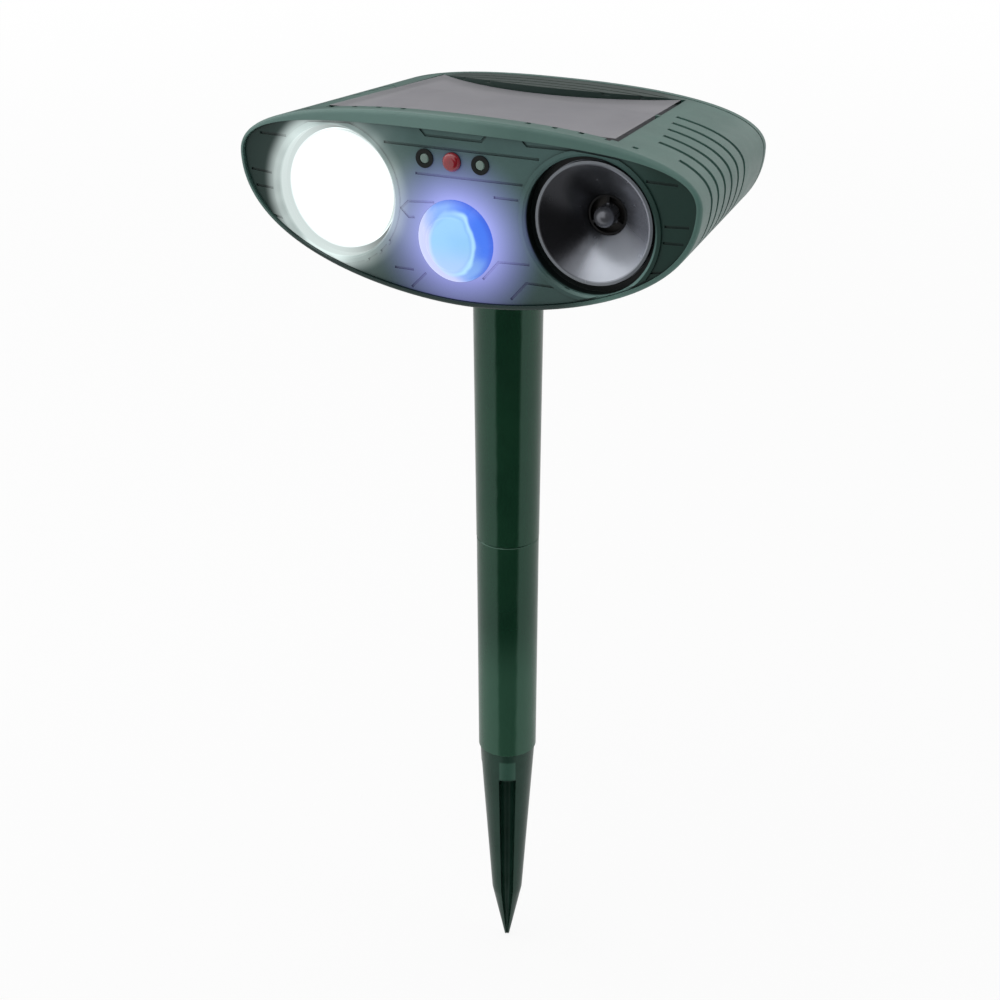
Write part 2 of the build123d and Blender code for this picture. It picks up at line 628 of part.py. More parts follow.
with BuildPart() as rear_cover:
    loft([head_section(COVER_FRONT), head_section(COVER_BACK)])
    fillet(rear_cover.edges().group_by(Axis.Y)[-1], COVER_ROUND)
    extrude(head_section(COVER_FRONT, WALL), amount=-(COVER_INSIDE - COVER_FRONT), mode=Mode.SUBTRACT)
    with BuildSketch(across(COVER_FRONT)):
        with Locations(*REAR_SCREW_PLACES):
            Circle(BOSS_RADIUS)
        add(head_section(COVER_FRONT, GASKET_INSET), mode=Mode.INTERSECT)
    extrude(amount=-(COVER_INSIDE - COVER_FRONT))
    with BuildSketch(across(BOARD_BACK)):
        with Locations(*BOARD_HOLES):
            Circle(BOARD_POST_RADIUS)
    extrude(amount=-BOARD_STANDOFF)
    # hinge ears of the port cover
    ear_place = HINGE_LENGTH / 2 + FLAP_GAP
    with BuildSketch(across(COVER_BACK)):
        for side in (-1, 1):
            with Locations((side * (ear_place + HINGE_EAR / 2), HINGE_Z)):
                Rectangle(HINGE_EAR, 2 * HINGE_RADIUS)
    extrude(amount=-(FLAP_GAP + 2 * HINGE_RADIUS))
    # openings
    with BuildSketch(across(COVER_FRONT)):
        with Locations(*REAR_SCREW_PLACES):
            Circle(SCREW_RADIUS + SCREW_FIT)
        with Locations(*KNOB_PLACES.values()):
            Circle(SHAFT_RADIUS + SHAFT_HOLE_GAP)
        with Locations((0, BUTTON_Z)):
            Circle(BUTTON_RADIUS + BUTTON_GAP)
        with Locations((0, USB_Z)):
            RectangleRounded(*PORT_SIZE, USB_ROUND)
    extrude(amount=-COVER_DEPTH, mode=Mode.SUBTRACT)
    with BuildSketch(across(COVER_BACK - SCREW_HEAD_HEIGHT)):
        with Locations(*REAR_SCREW_PLACES):
            Circle(SCREW_HEAD_RADIUS + SCREW_FIT)
    extrude(amount=-SCREW_HEAD_HEIGHT, mode=Mode.SUBTRACT)
    with BuildSketch(across(BOARD_BACK)):
        with Locations(*BOARD_HOLES):
            Circle(SMALL_SCREW_RADIUS + SCREW_FIT)
    extrude(amount=-SMALL_SCREW_LENGTH, mode=Mode.SUBTRACT)
    with BuildSketch(HINGE_PLANE):
        Circle(HINGE_PIN_RADIUS)
    extrude(amount=ear_place + HINGE_EAR, both=True, mode=Mode.SUBTRACT)
save(rear_cover.part, "rear_cover")

rear_screws = screws(REAR_SCREW_PLACES, COVER_BACK - SCREW_HEAD_HEIGHT, SCREW_LENGTH, SCREW_RADIUS,
                     SCREW_HEAD_RADIUS, SCREW_HEAD_HEIGHT)
save(rear_screws, "rear_screws")

# ---------------------------------------------------------------- solar panel
with BuildPart() as solar_window:
    extrude(solar_outline(SOLAR_WINDOW), amount=SOLAR_WINDOW)
save(solar_window.part, "solar_window")

with BuildPart() as solar_backing:
    extrude(solar_outline(SOLAR_PAN), amount=SOLAR_BACKING)
save(solar_backing.part, "solar_backing")

with BuildPart() as solar_cells:
    with BuildSketch(solar_plane(SOLAR_WINDOW + SOLAR_CELL)):
        with Locations((0, CELL_MARGIN + CELL_SIZE[1] / 2)):
            with GridLocations(CELL_PITCH, 1, CELL_COLUMNS, 1):
                Rectangle(*CELL_SIZE)
    extrude(amount=SOLAR_CELL)
save(solar_cells.part, "solar_cells")

# ---------------------------------------------------------------- lamp
LENS_BACK = MOUTH_DEPTH + LENS_SINK + LENS_THICKNESS
BOWL_BACK = LENS_BACK + BOWL_LENGTH
LENS_RADIUS = MOUTH_RADIUS + MOUTH_WALL / 2
with BuildPart() as lamp_reflector:
    rim = MOUTH_RADIUS + MOUTH_WALL
    with BuildSketch(along(-EYE_X, EYE_Z)):
        with BuildLine():
            Polyline((LENS_RADIUS, MOUTH_DEPTH), (LENS_RADIUS, LENS_BACK), (MOUTH_RADIUS, LENS_BACK))
            Bezier((MOUTH_RADIUS, LENS_BACK), (BOWL_HANDLE[0], LENS_BACK + BOWL_HANDLE[1]),
                   (BOWL_THROAT_RADIUS, BOWL_BACK))
            Line((BOWL_THROAT_RADIUS, BOWL_BACK), (LAMP_BOARD_RADIUS, BOWL_BACK))
            Bezier((LAMP_BOARD_RADIUS, BOWL_BACK), (BOWL_BACK_HANDLE[0], LENS_BACK + BOWL_BACK_HANDLE[1]),
                   (rim, FLANGE_BACK))
            Polyline((rim, FLANGE_BACK), (rim, MOUTH_DEPTH), (LENS_RADIUS, MOUTH_DEPTH))
        make_face()
    revolve(axis=spin(-EYE_X, EYE_Z))
    flange = eared_disc(-EYE_X, FLOOR_BACK, FLANGE_THICKNESS, FLANGE_RADIUS)
    with BuildSketch(across(FLOOR_BACK), mode=Mode.PRIVATE) as lamp_hole:
        with Locations((-EYE_X, EYE_Z)):
            Circle(rim)
    add(flange - extrude(lamp_hole.sketch, amount=-FLANGE_THICKNESS, mode=Mode.PRIVATE))
save(lamp_reflector.part, "lamp_reflector")

with BuildPart() as lamp_lens:
    with BuildSketch(across(MOUTH_DEPTH + LENS_SINK)):
        with Locations((-EYE_X, EYE_Z)):
            Circle(LENS_RADIUS - SCREW_FIT)
    extrude(amount=-LENS_THICKNESS)
    fillet(lamp_lens.edges().group_by(Axis.Y)[0], LENS_SINK)
save(lamp_lens.part, "lamp_lens")

with BuildPart() as lamp_board:
    with BuildSketch(across(BOWL_BACK)):
        with Locations((-EYE_X, EYE_Z)):
            Circle(LAMP_BOARD_RADIUS)
    extrude(amount=-BOARD)
save(lamp_board.part, "lamp_board")

with BuildPart() as lamp_leds:
    with BuildSketch(across(BOWL_BACK)):
        with Locations((-EYE_X, EYE_Z)):
            with PolarLocations(LAMP_LED_RING_RADIUS, LAMP_LED_COUNT, start_angle=90):
                RectangleRounded(LAMP_LED_SIZE, LAMP_LED_SIZE, LAMP_LED_ROUND)
    extrude(amount=LAMP_LED_HEIGHT)
save(lamp_leds.part, "lamp_leds")

# ---------------------------------------------------------------- horn
with BuildPart() as horn_flare:
    rim = MOUTH_RADIUS + MOUTH_WALL
    skirt_bore = rim - FLARE_WALL
    neck = THROAT_RADIUS + FLARE_WALL
    middle = ((MOUTH_RADIUS + THROAT_RADIUS) / 2 - FLARE_CURVE / 2, (MOUTH_DEPTH + THROAT_DEPTH) / 2)
    middle_back = (middle[0] + FLARE_WALL / 2, middle[1] + FLARE_WALL)
    with BuildSketch(along(EYE_X, EYE_Z)):
        with BuildLine():
            ThreePointArc((MOUTH_RADIUS, MOUTH_DEPTH), middle, (THROAT_RADIUS, THROAT_DEPTH))
            Polyline((THROAT_RADIUS, THROAT_DEPTH), (THROAT_RADIUS, THROAT_BACK), (neck, THROAT_BACK),
                     (neck, THROAT_DEPTH + FLARE_WALL / 2))
            ThreePointArc((neck, THROAT_DEPTH + FLARE_WALL / 2), middle_back,
                          (skirt_bore, MOUTH_DEPTH + 2 * FLARE_WALL))
            Polyline((skirt_bore, MOUTH_DEPTH + 2 * FLARE_WALL), (skirt_bore, THROAT_BACK),
                     (SKIRT_RADIUS, THROAT_BACK), (SKIRT_RADIUS, FLANGE_BACK), (rim, FLANGE_BACK),
                     (rim, MOUTH_DEPTH), (MOUTH_RADIUS, MOUTH_DEPTH))
        make_face()
    revolve(axis=spin(EYE_X, EYE_Z))
    flange = eared_disc(EYE_X, FLOOR_BACK, FLANGE_THICKNESS, FLANGE_RADIUS)
    with BuildSketch(across(FLOOR_BACK), mode=Mode.PRIVATE) as horn_hole:
        with Locations((EYE_X, EYE_Z)):
            Circle(rim)
    add(flange - extrude(horn_hole.sketch, amount=-FLANGE_THICKNESS, mode=Mode.PRIVATE))
save(horn_flare.part, "horn_flare")

with BuildPart() as phase_plug:
    ring = THROAT_RADIUS - SCREW_FIT
    nose = THROAT_BACK - PLUG_LENGTH
    bend = radians(45)
    with BuildSketch(along(EYE_X, EYE_Z)):
        with BuildLine():
            Polyline((0, THROAT_BACK), (PLUG_RADIUS, THROAT_BACK), (PLUG_RADIUS, nose + PLUG_RADIUS))
            ThreePointArc((PLUG_RADIUS, nose + PLUG_RADIUS),
                          (PLUG_RADIUS * sin(bend), nose + PLUG_RADIUS * (1 - cos(bend))),
                          (0, nose))
            Line((0, nose), (0, THROAT_BACK))
        make_face()
    revolve(axis=spin(EYE_X, EYE_Z))
    with BuildSketch(across(THROAT_DEPTH)):
        with Locations((EYE_X, EYE_Z)):
            Circle(ring)
            Circle(ring - PLUG_RING_WALL, mode=Mode.SUBTRACT)
            with PolarLocations(0, 3, start_angle=90):
                Rectangle(ring - PLUG_RING_WALL / 2, PLUG_RIB, align=(Align.MIN, Align.CENTER))
    extrude(amount=-THROAT_LENGTH)
save(phase_plug.part, "phase_plug")

PIEZO_SEAT = THROAT_BACK + PIEZO_SINK
with BuildPart() as driver_can:
    with BuildSketch(along(EYE_X, EYE_Z)):
        with BuildLine():
            Polyline((SKIRT_RADIUS, THROAT_BACK), (SKIRT_RADIUS, THROAT_BACK + CAN_LENGTH),
                     (0, THROAT_BACK + CAN_LENGTH), (0, THROAT_BACK + CAN_LENGTH - FLARE_WALL),
                     (PIEZO_RADIUS - FLARE_WALL, THROAT_BACK + CAN_LENGTH - FLARE_WALL),
                     (PIEZO_RADIUS - FLARE_WALL, PIEZO_SEAT + PIEZO_THICKNESS),
                     (PIEZO_RADIUS + SCREW_FIT, PIEZO_SEAT + PIEZO_THICKNESS),
                     (PIEZO_RADIUS + SCREW_FIT, THROAT_BACK), (SKIRT_RADIUS, THROAT_BACK))
        make_face()
    revolve(axis=spin(EYE_X, EYE_Z))
save(driver_can.part, "driver_can")

with BuildPart() as piezo_disc:
    with BuildSketch(across(PIEZO_SEAT)):
        with Locations((EYE_X, EYE_Z)):
            Circle(PIEZO_RADIUS)
    extrude(amount=-PIEZO_THICKNESS)
save(piezo_disc.part, "piezo_disc")

# ---------------------------------------------------------------- motion sensor
CUP_FRONT = PANEL_BACK + PIR_FLANGE
CUP_BACK = CUP_FRONT + PIR_CUP_LENGTH
EAR_FRONT = CUP_BACK - FLANGE_THICKNESS
FLANGE_OUTER = PIR_RADIUS + PIR_FLANGE
PIR_BORE = PIR_RADIUS - PIR_WALL
with BuildPart() as pir_lens:
    cap = (PIR_RADIUS ** 2 + PIR_DOME ** 2) / (2 * PIR_DOME)
    middle = PANEL_RECESS - PIR_DOME + cap
    inner_cap = cap - PIR_WALL
    bend = asin(PIR_RADIUS / cap) / 2
    inner_bend = asin(PIR_BORE / inner_cap) / 2
    bore_start = middle - inner_cap * cos(2 * inner_bend)
    with BuildSketch(along(PIR_OFFSET, PIR_Z)):
        with BuildLine():
            ThreePointArc((0, middle - cap), (cap * sin(bend), middle - cap * cos(bend)),
                          (PIR_RADIUS, PANEL_RECESS))
            Polyline((PIR_RADIUS, PANEL_RECESS), (PIR_RADIUS, PANEL_BACK), (FLANGE_OUTER, PANEL_BACK),
                     (FLANGE_OUTER, CUP_FRONT), (PIR_BORE, CUP_FRONT), (PIR_BORE, bore_start))
            ThreePointArc((PIR_BORE, bore_start),
                          (inner_cap * sin(inner_bend), middle - inner_cap * cos(inner_bend)),
                          (0, middle - inner_cap))
            Line((0, middle - inner_cap), (0, middle - cap))
        make_face()
    revolve(axis=spin(PIR_OFFSET, PIR_Z))
save(pir_lens.part, "pir_lens")


def pir_plate(depth, thickness):
    """Round plate with two screw ears behind the motion sensor's lens."""
    with BuildPart() as plate:
        with BuildSketch(across(depth)):
            with Locations((PIR_OFFSET, PIR_Z)):
                Circle(FLANGE_OUTER)
                SlotCenterToCenter(2 * PIR_EAR_REACH, 2 * EAR_RADIUS)
        extrude(amount=-thickness)
        with BuildSketch(across(depth)):
            with Locations(*PIR_EARS):
                Circle(SMALL_SCREW_RADIUS + SCREW_FIT)
        extrude(amount=-thickness, mode=Mode.SUBTRACT)
    return plate.part


with BuildPart() as pir_retainer:
    with BuildSketch(across(CUP_FRONT)):
        with Locations((PIR_OFFSET, PIR_Z)):
            Circle(FLANGE_OUTER)
    extrude(amount=-(EAR_FRONT - CUP_FRONT))
    add(pir_plate(EAR_FRONT, FLANGE_THICKNESS))
    with BuildSketch(across(CUP_FRONT)):
        with Locations((PIR_OFFSET, PIR_Z)):
            Circle(PIR_BORE)
    extrude(amount=-PIR_CUP_LENGTH, mode=Mode.SUBTRACT)
save(pir_retainer.part, "pir_retainer")

pir_board = pir_plate(CUP_BACK, BOARD)
save(pir_board, "pir_board")

with BuildPart() as pir_sensor:
    with BuildSketch(across(CUP_BACK)):
        with Locations((PIR_OFFSET, PIR_Z)):
            Circle(PIR_CAN_RADIUS + PIR_BASE)
    extrude(amount=PIR_BASE)
    with BuildSketch(across(CUP_BACK - PIR_BASE)):
        with Locations((PIR_OFFSET, PIR_Z)):
            Circle(PIR_CAN_RADIUS)
    extrude(amount=PIR_CAN_HEIGHT - PIR_BASE)
    with BuildSketch(across(CUP_BACK - PIR_CAN_HEIGHT)):
        with Locations((PIR_OFFSET, PIR_Z)):
            Rectangle(*PIR_WINDOW)
    extrude(amount=-PIR_WINDOW_SINK, mode=Mode.SUBTRACT)
save(pir_sensor.part, "pir_sensor")

with BuildPart() as pir_leds:
    with BuildSketch(across(CUP_BACK)):
        with Locations((PIR_OFFSET, PIR_Z)):
            with PolarLocations(PIR_LED_RING_RADIUS, PIR_LED_COUNT, start_angle=45):
                Circle(PIR_LED_RADIUS)
    extrude(amount=PIR_LED_HEIGHT)
    fillet(pir_leds.edges().group_by(Axis.Y)[0], PIR_LED_ROUND)
save(pir_leds.part, "pir_leds")

# ---------------------------------------------------------------- indicators
INDICATOR_FRONT = PANEL_BACK + INDICATOR_STANDOFF
with BuildPart() as sensor_bezels:
    with BuildSketch(across(PANEL_RECESS)):
        with Locations(*SENSOR_PLACES):
            Circle(BEZEL_RADIUS)
    extrude(amount=BEZEL_PROUD)
    with BuildSketch(across(PANEL_RECESS)):
        with Locations(*SENSOR_PLACES):
            Circle(BEZEL_BARREL)
    extrude(amount=-PANEL_THICKNESS)
    with BuildSketch(across(PANEL_BACK)):
        with Locations(SENSOR_PLACES[0], SENSOR_PLACES[2]):
            Circle(WINDOW_RADIUS + SCREW_FIT)
        with Locations(SENSOR_PLACES[1]):
            Circle(STATUS_LED_RADIUS + SCREW_FIT)
    extrude(amount=PANEL_THICKNESS + BEZEL_PROUD, mode=Mode.SUBTRACT)
save(sensor_bezels.part, "sensor_bezels")


def indicator(place, radius, proud, nose):
    """Round-nosed indicator that stands on its board and shows through the panel."""
    with BuildPart() as body:
        with BuildSketch(across(INDICATOR_FRONT)):
            with Locations(place):
                Circle(radius)
        extrude(amount=INDICATOR_FRONT - PANEL_RECESS + proud)
        fillet(body.edges().group_by(Axis.Y)[0], nose)
    return body.part


charge_led = indicator(SENSOR_PLACES[0], WINDOW_RADIUS, BEZEL_PROUD, WINDOW_ROUND)
save(charge_led, "charge_led")
with BuildPart() as status_led:
    with BuildSketch(across(PANEL_RECESS - BEZEL_PROUD)):
        with Locations(SENSOR_PLACES[1]):
            Circle(BEZEL_RADIUS)
    extrude(amount=STATUS_LED_PROUD - BEZEL_PROUD)
    fillet(status_led.edges().group_by(Axis.Y)[0], STATUS_CAP_ROUND)
    add(indicator(SENSOR_PLACES[1], STATUS_LED_RADIUS, STATUS_LED_PROUD, STATUS_LED_ROUND))
save(status_led.part, "status_led")
light_sensor = indicator(SENSOR_PLACES[2], WINDOW_RADIUS, BEZEL_PROUD, WINDOW_ROUND)
save(light_sensor, "light_sensor")

with BuildPart() as indicator_board:
    with BuildSketch(across(INDICATOR_FRONT)):
        with Locations((SENSOR_OFFSET, SENSOR_Z)):
            Rectangle(*INDICATOR_BOARD)
        with Locations(*SENSOR_POSTS):
            Circle(SMALL_SCREW_RADIUS + SCREW_FIT, mode=Mode.SUBTRACT)
    extrude(amount=-BOARD)
save(indicator_board.part, "indicator_board")

with BuildPart() as panel_screws:
    add(screws(EAR_PLACES, FLANGE_BACK, SMALL_SCREW_LENGTH, SMALL_SCREW_RADIUS, SMALL_HEAD_RADIUS,
               SMALL_HEAD_HEIGHT))
    add(screws(PIR_EARS, CUP_BACK + BOARD, SMALL_SCREW_LENGTH, SMALL_SCREW_RADIUS, SMALL_HEAD_RADIUS,
               SMALL_HEAD_HEIGHT))
    add(screws(SENSOR_POSTS, INDICATOR_FRONT + BOARD, SMALL_SCREW_LENGTH, SMALL_SCREW_RADIUS,
               SMALL_HEAD_RADIUS, SMALL_HEAD_HEIGHT))
save(panel_screws.part, "panel_screws")

# ---------------------------------------------------------------- main board
with BuildPart() as main_board:
    with BuildSketch(across(BOARD_FRONT)):
        with Locations(BOARD_CENTRE):
            Rectangle(*MAIN_BOARD)
        with Locations(*BOARD_HOLES):
            Circle(SMALL_SCREW_RADIUS + SCREW_FIT, mode=Mode.SUBTRACT)
    extrude(amount=-BOARD)
save(main_board.part, "main_board")

board_screws = screws(BOARD_HOLES, BOARD_FRONT, SMALL_SCREW_LENGTH, SMALL_SCREW_RADIUS, SMALL_HEAD_RADIUS,
                      SMALL_HEAD_HEIGHT, towards_front=False)
save(board_screws, "board_screws")

with BuildPart() as board_components:
    for x, fall, size, height in BOARD_BLOCKS:
        with BuildSketch(across(BOARD_FRONT)):
            with Locations((x, TIP_Z - fall)):
                Rectangle(*size)
        extrude(amount=height)
    for x, fall, radius, height in BOARD_CANS:
        with BuildSketch(across(BOARD_FRONT)):
            with Locations((x, TIP_Z - fall)):
                Circle(radius)
        extrude(amount=height)
save(board_components.part, "board_components")

# ---------------------------------------------------------------- controls
POT_TOP = BOARD_BACK + POT_HEIGHT
KNOB_SEAT = COVER_BACK + KNOB_GAP
SHAFT_INNER = BOARD_BACK + POT_HEIGHT / 2
for name, (x, z) in KNOB_PLACES.items():
    with BuildPart() as pot:
        with BuildSketch(across(BOARD_BACK)):
            with Locations((x, z)):
                Rectangle(*POT_SIZE)
        extrude(amount=-POT_HEIGHT)
        with BuildSketch(across(POT_TOP)):
            with Locations((x, z)):
                Circle(POT_NECK_RADIUS)
        extrude(amount=-POT_NECK_LENGTH)
        with BuildSketch(across(SHAFT_INNER - SHAFT_FIT)):
            with Locations((x, z)):
                Circle(SHAFT_RADIUS + SHAFT_FIT)
        extrude(amount=-(POT_HEIGHT + POT_NECK_LENGTH), mode=Mode.SUBTRACT)
    save(pot.part, f"{name}_pot")

    with BuildPart() as shaft:
        with BuildSketch(across(SHAFT_INNER)):
            with Locations((x, z)):
                Circle(SHAFT_RADIUS)
        extrude(amount=-(KNOB_SEAT + KNOB_BORE - SHAFT_INNER))
    save(shaft.part, f"{name}_shaft")

    with BuildPart() as knob:
        with BuildSketch(across(KNOB_SEAT)):
            with Locations((x, z)):
                Circle(KNOB_RADIUS)
                with PolarLocations(KNOB_RADIUS + FLUTE_RADIUS / 2, KNOB_FLUTES,
                                    start_angle=180 / KNOB_FLUTES):
                    Circle(FLUTE_RADIUS, mode=Mode.SUBTRACT)
        extrude(amount=-KNOB_HEIGHT)
        chamfer(knob.edges().group_by(Axis.Y)[-1], KNOB_CHAMFER)
        with BuildSketch(across(KNOB_SEAT)):
            with Locations((x, z)):
                Circle(SHAFT_RADIUS + SCREW_FIT)
        extrude(amount=-KNOB_BORE, mode=Mode.SUBTRACT)
        with BuildSketch(across(KNOB_SEAT + KNOB_HEIGHT)):
            with Locations((x, z)):
                Rectangle(2 * KNOB_MARK, KNOB_MARK_LENGTH, align=(Align.CENTER, Align.MIN))
        extrude(amount=KNOB_MARK, mode=Mode.SUBTRACT)
    save(knob.part, f"{name}_knob")

PLUNGER_TIP = BOARD_BACK + SWITCH_HEIGHT + PLUNGER_PROUD
PLUNGER_FOOT = BOARD_BACK + SWITCH_HEIGHT - PLUNGER_GRIP
with BuildPart() as power_switch:
    with BuildSketch(across(BOARD_BACK)):
        with Locations((0, BUTTON_Z)):
            RectangleRounded(SWITCH_SIZE, SWITCH_SIZE, SWITCH_ROUND)
    extrude(amount=-SWITCH_HEIGHT)
    with BuildSketch(across(PLUNGER_FOOT - BUTTON_TRAVEL - PLUNGER_SPARE)):
        with Locations((0, BUTTON_Z)):
            Circle(PLUNGER_RADIUS + SHAFT_FIT)
    extrude(amount=-SWITCH_HEIGHT, mode=Mode.SUBTRACT)
save(power_switch.part, "power_switch")

with BuildPart() as switch_plunger:
    with BuildSketch(across(PLUNGER_FOOT)):
        with Locations((0, BUTTON_Z)):
            Circle(PLUNGER_RADIUS)
    extrude(amount=-(PLUNGER_TIP - PLUNGER_FOOT))
save(switch_plunger.part, "switch_plunger")

FLANGE_TOP = COVER_INSIDE - FLAP_GAP
with BuildPart() as power_button:
    with BuildSketch(across(FLANGE_TOP - BUTTON_FLANGE)):
        with Locations((0, BUTTON_Z)):
            Circle(BUTTON_RADIUS + BUTTON_FLANGE)
    extrude(amount=-BUTTON_FLANGE)
    with BuildSketch(across(FLANGE_TOP)):
        with Locations((0, BUTTON_Z)):
            Circle(BUTTON_RADIUS)
    extrude(amount=-(COVER_BACK + BUTTON_PROUD - FLANGE_TOP))
    fillet(power_button.edges().group_by(Axis.Y)[-1], BUTTON_ROUND)
    with BuildSketch(across(PLUNGER_TIP)):
        with Locations((0, BUTTON_Z)):
            Circle(PLUNGER_RADIUS)
    extrude(amount=-(FLANGE_TOP - BUTTON_FLANGE - PLUNGER_TIP))
save(power_button.part, "power_button")

with BuildPart() as usb_socket:
    reach = COVER_INSIDE + COVER_PLATE / 2 - BOARD_BACK
    with BuildSketch(across(BOARD_BACK)):
        with Locations((0, USB_Z)):
            RectangleRounded(*USB_SIZE, USB_ROUND)
    extrude(amount=-reach)
    with BuildSketch(across(BOARD_BACK + BOARD)):
        with Locations((0, USB_Z)):
            RectangleRounded(USB_SIZE[0] - 2 * USB_WALL, USB_SIZE[1] - 2 * USB_WALL, USB_ROUND - USB_WALL)
            Rectangle(*USB_TONGUE, mode=Mode.SUBTRACT)
    extrude(amount=-reach, mode=Mode.SUBTRACT)
save(usb_socket.part, "usb_socket")

with BuildPart() as port_cover:
    with BuildSketch(across(COVER_BACK + FLAP_GAP)):
        with Locations((0, USB_Z)):
            RectangleRounded(*FLAP_SIZE, FLAP_ROUND)
    extrude(amount=-FLAP_THICKNESS)
    with BuildSketch(across(COVER_BACK + FLAP_GAP)):
        with Locations((0, HINGE_Z - HINGE_RADIUS)):
            Rectangle(HINGE_LENGTH, 2 * HINGE_RADIUS)
    extrude(amount=-FLAP_THICKNESS)
    with BuildSketch(across(COVER_BACK + FLAP_GAP)):
        with Locations((0, USB_Z)):
            RectangleRounded(USB_SIZE[0] + 2 * USB_WALL, USB_SIZE[1] + 2 * USB_WALL, FLAP_ROUND)
    extrude(amount=FLAP_PLUG)
    with BuildSketch(HINGE_PLANE):
        Circle(HINGE_RADIUS)
    extrude(amount=HINGE_LENGTH / 2, both=True)
    with BuildSketch(HINGE_PLANE):
        Circle(HINGE_PIN_RADIUS + SHAFT_FIT)
    extrude(amount=HINGE_LENGTH, both=True, mode=Mode.SUBTRACT)
save(port_cover.part, "port_cover")

with BuildPart() as port_cover_pin:
    with BuildSketch(HINGE_PLANE):
        Circle(HINGE_PIN_RADIUS)
    extrude(amount=HINGE_LENGTH / 2 + FLAP_GAP + HINGE_EAR, both=True)
save(port_cover_pin.part, "port_cover_pin")

# ---------------------------------------------------------------- battery
CELL_END = CELL_DEPTH + CELL_LENGTH
HOLDER_HALF = CELL_SPACING * (CELL_COUNT - 1) / 2 + CELL_RADIUS + HOLDER_WALL
with BuildPart() as battery_holder:
    with BuildSketch(across(CELL_DEPTH - CONTACT - HOLDER_WALL)):
        with Locations((HOLDER_MIDDLE, CELL_Z - CELL_RADIUS - HOLDER_WALL)):
            Rectangle(2 * HOLDER_HALF, CELL_RADIUS + HOLDER_WALL, align=(Align.CENTER, Align.MIN))
    extrude(amount=-(CELL_LENGTH + 2 * (CONTACT + HOLDER_WALL)))
    with BuildSketch(across(CELL_DEPTH - CONTACT)):
        with Locations(*CELL_PLACES):
            Circle(CELL_RADIUS + SCREW_FIT)
    extrude(amount=-(CELL_LENGTH + 2 * CONTACT), mode=Mode.SUBTRACT)
save(battery_holder.part, "battery_holder")

with BuildPart() as battery_cells:
    with BuildSketch(across(CELL_DEPTH)):
        with Locations(*CELL_PLACES):
            Circle(CELL_RADIUS)
    extrude(amount=-CELL_LENGTH)
    fillet(battery_cells.edges().filter_by(GeomType.CIRCLE), CELL_ROUND)
save(battery_cells.part, "battery_cells")

with BuildPart() as battery_contacts:
    for depth in (CELL_DEPTH - CONTACT, CELL_END):
        with BuildSketch(across(depth)):
            for x, z in CELL_PLACES:
                with Locations((x, z - CELL_RADIUS / 3)):
                    Rectangle(CELL_RADIUS, CELL_RADIUS)
        extrude(amount=-CONTACT)
save(battery_contacts.part, "battery_contacts")

# ---------------------------------------------------------------- stake
with BuildPart() as swivel_bush:
    with BuildSketch(Plane.XZ):
        with BuildLine():
            Polyline((SPIGOT_RADIUS + FIT, POLE_TOP), (UPPER_TOP_RADIUS, POLE_TOP),
                     (UPPER_TOP_RADIUS, KEEL_Z + BUSH_SEAT), (BUSH_RADIUS, KEEL_Z + BUSH_SEAT),
                     (BUSH_RADIUS, BUSH_END), (0, BUSH_END), (0, BUSH_END - BUSH_TOP + FIT),
                     (SPIGOT_RADIUS + FIT, BUSH_END - BUSH_TOP + FIT),
                     (SPIGOT_RADIUS + FIT, POLE_TOP))
        make_face()
    revolve(axis=Axis.Z)
save(swivel_bush.part, "swivel_bush")


def pole_section(foot, top, foot_radius, top_radius, bore):
    """Tube with a spigot at its top and a bore all the way up to the spigot's own wall."""
    spigot = top_radius - POLE_WALL
    with BuildPart() as tube:
        with BuildSketch(Plane.XZ):
            with BuildLine():
                Polyline((bore, foot), (foot_radius - POLE_CHAMFER, foot),
                         (foot_radius, foot + POLE_CHAMFER),
                         (top_radius, top - POLE_CHAMFER), (top_radius - POLE_CHAMFER, top), (spigot, top),
                         (spigot, top + SPIGOT_LENGTH), (spigot - SPIGOT_WALL, top + SPIGOT_LENGTH),
                         (spigot - SPIGOT_WALL, foot + SPIGOT_LENGTH + 2 * FIT),
                         (bore, foot + SPIGOT_LENGTH + 2 * FIT), (bore, foot))
            make_face()
        revolve(axis=Axis.Z)
    return tube.part


SPIKE_SPIGOT = LOWER_FOOT_RADIUS - POLE_WALL
LOWER_SPIGOT = LOWER_TOP_RADIUS - POLE_WALL
upper_pole = pole_section(POLE_SPLIT, POLE_TOP, UPPER_FOOT_RADIUS, UPPER_TOP_RADIUS, LOWER_SPIGOT + FIT)
save(upper_pole, "upper_pole")
lower_pole = pole_section(0, POLE_SPLIT, LOWER_FOOT_RADIUS, LOWER_TOP_RADIUS, SPIKE_SPIGOT + FIT)
save(lower_pole, "lower_pole")

with BuildPart() as spike_tabs:
    for turn in range(FLUTE_COUNT):
        angle = radians(FLUTE_TURN + 360 / FLUTE_COUNT * turn)
        with BuildSketch(Plane(origin=(0, 0, -(TAB_START + FLUTE_START) / 2),
                               x_dir=(-sin(angle), cos(angle), 0), z_dir=(cos(angle), sin(angle), 0))):
            RectangleRounded(TAB_WIDTH, FLUTE_START - TAB_START, TAB_ROUND)
        extrude(amount=SPIKE_RADIUS + TAB_PROUD)
    with BuildSketch(Plane.XZ):
        with BuildLine():
            Polyline((0, 0), (SPIKE_RADIUS + TAB_PROUD, 0), (SPIKE_KNEE_RADIUS + TAB_PROUD, -SPIKE_KNEE),
                     (0, -SPIKE_KNEE), (0, 0))
        make_face()
    revolve(axis=Axis.Z, mode=Mode.INTERSECT)

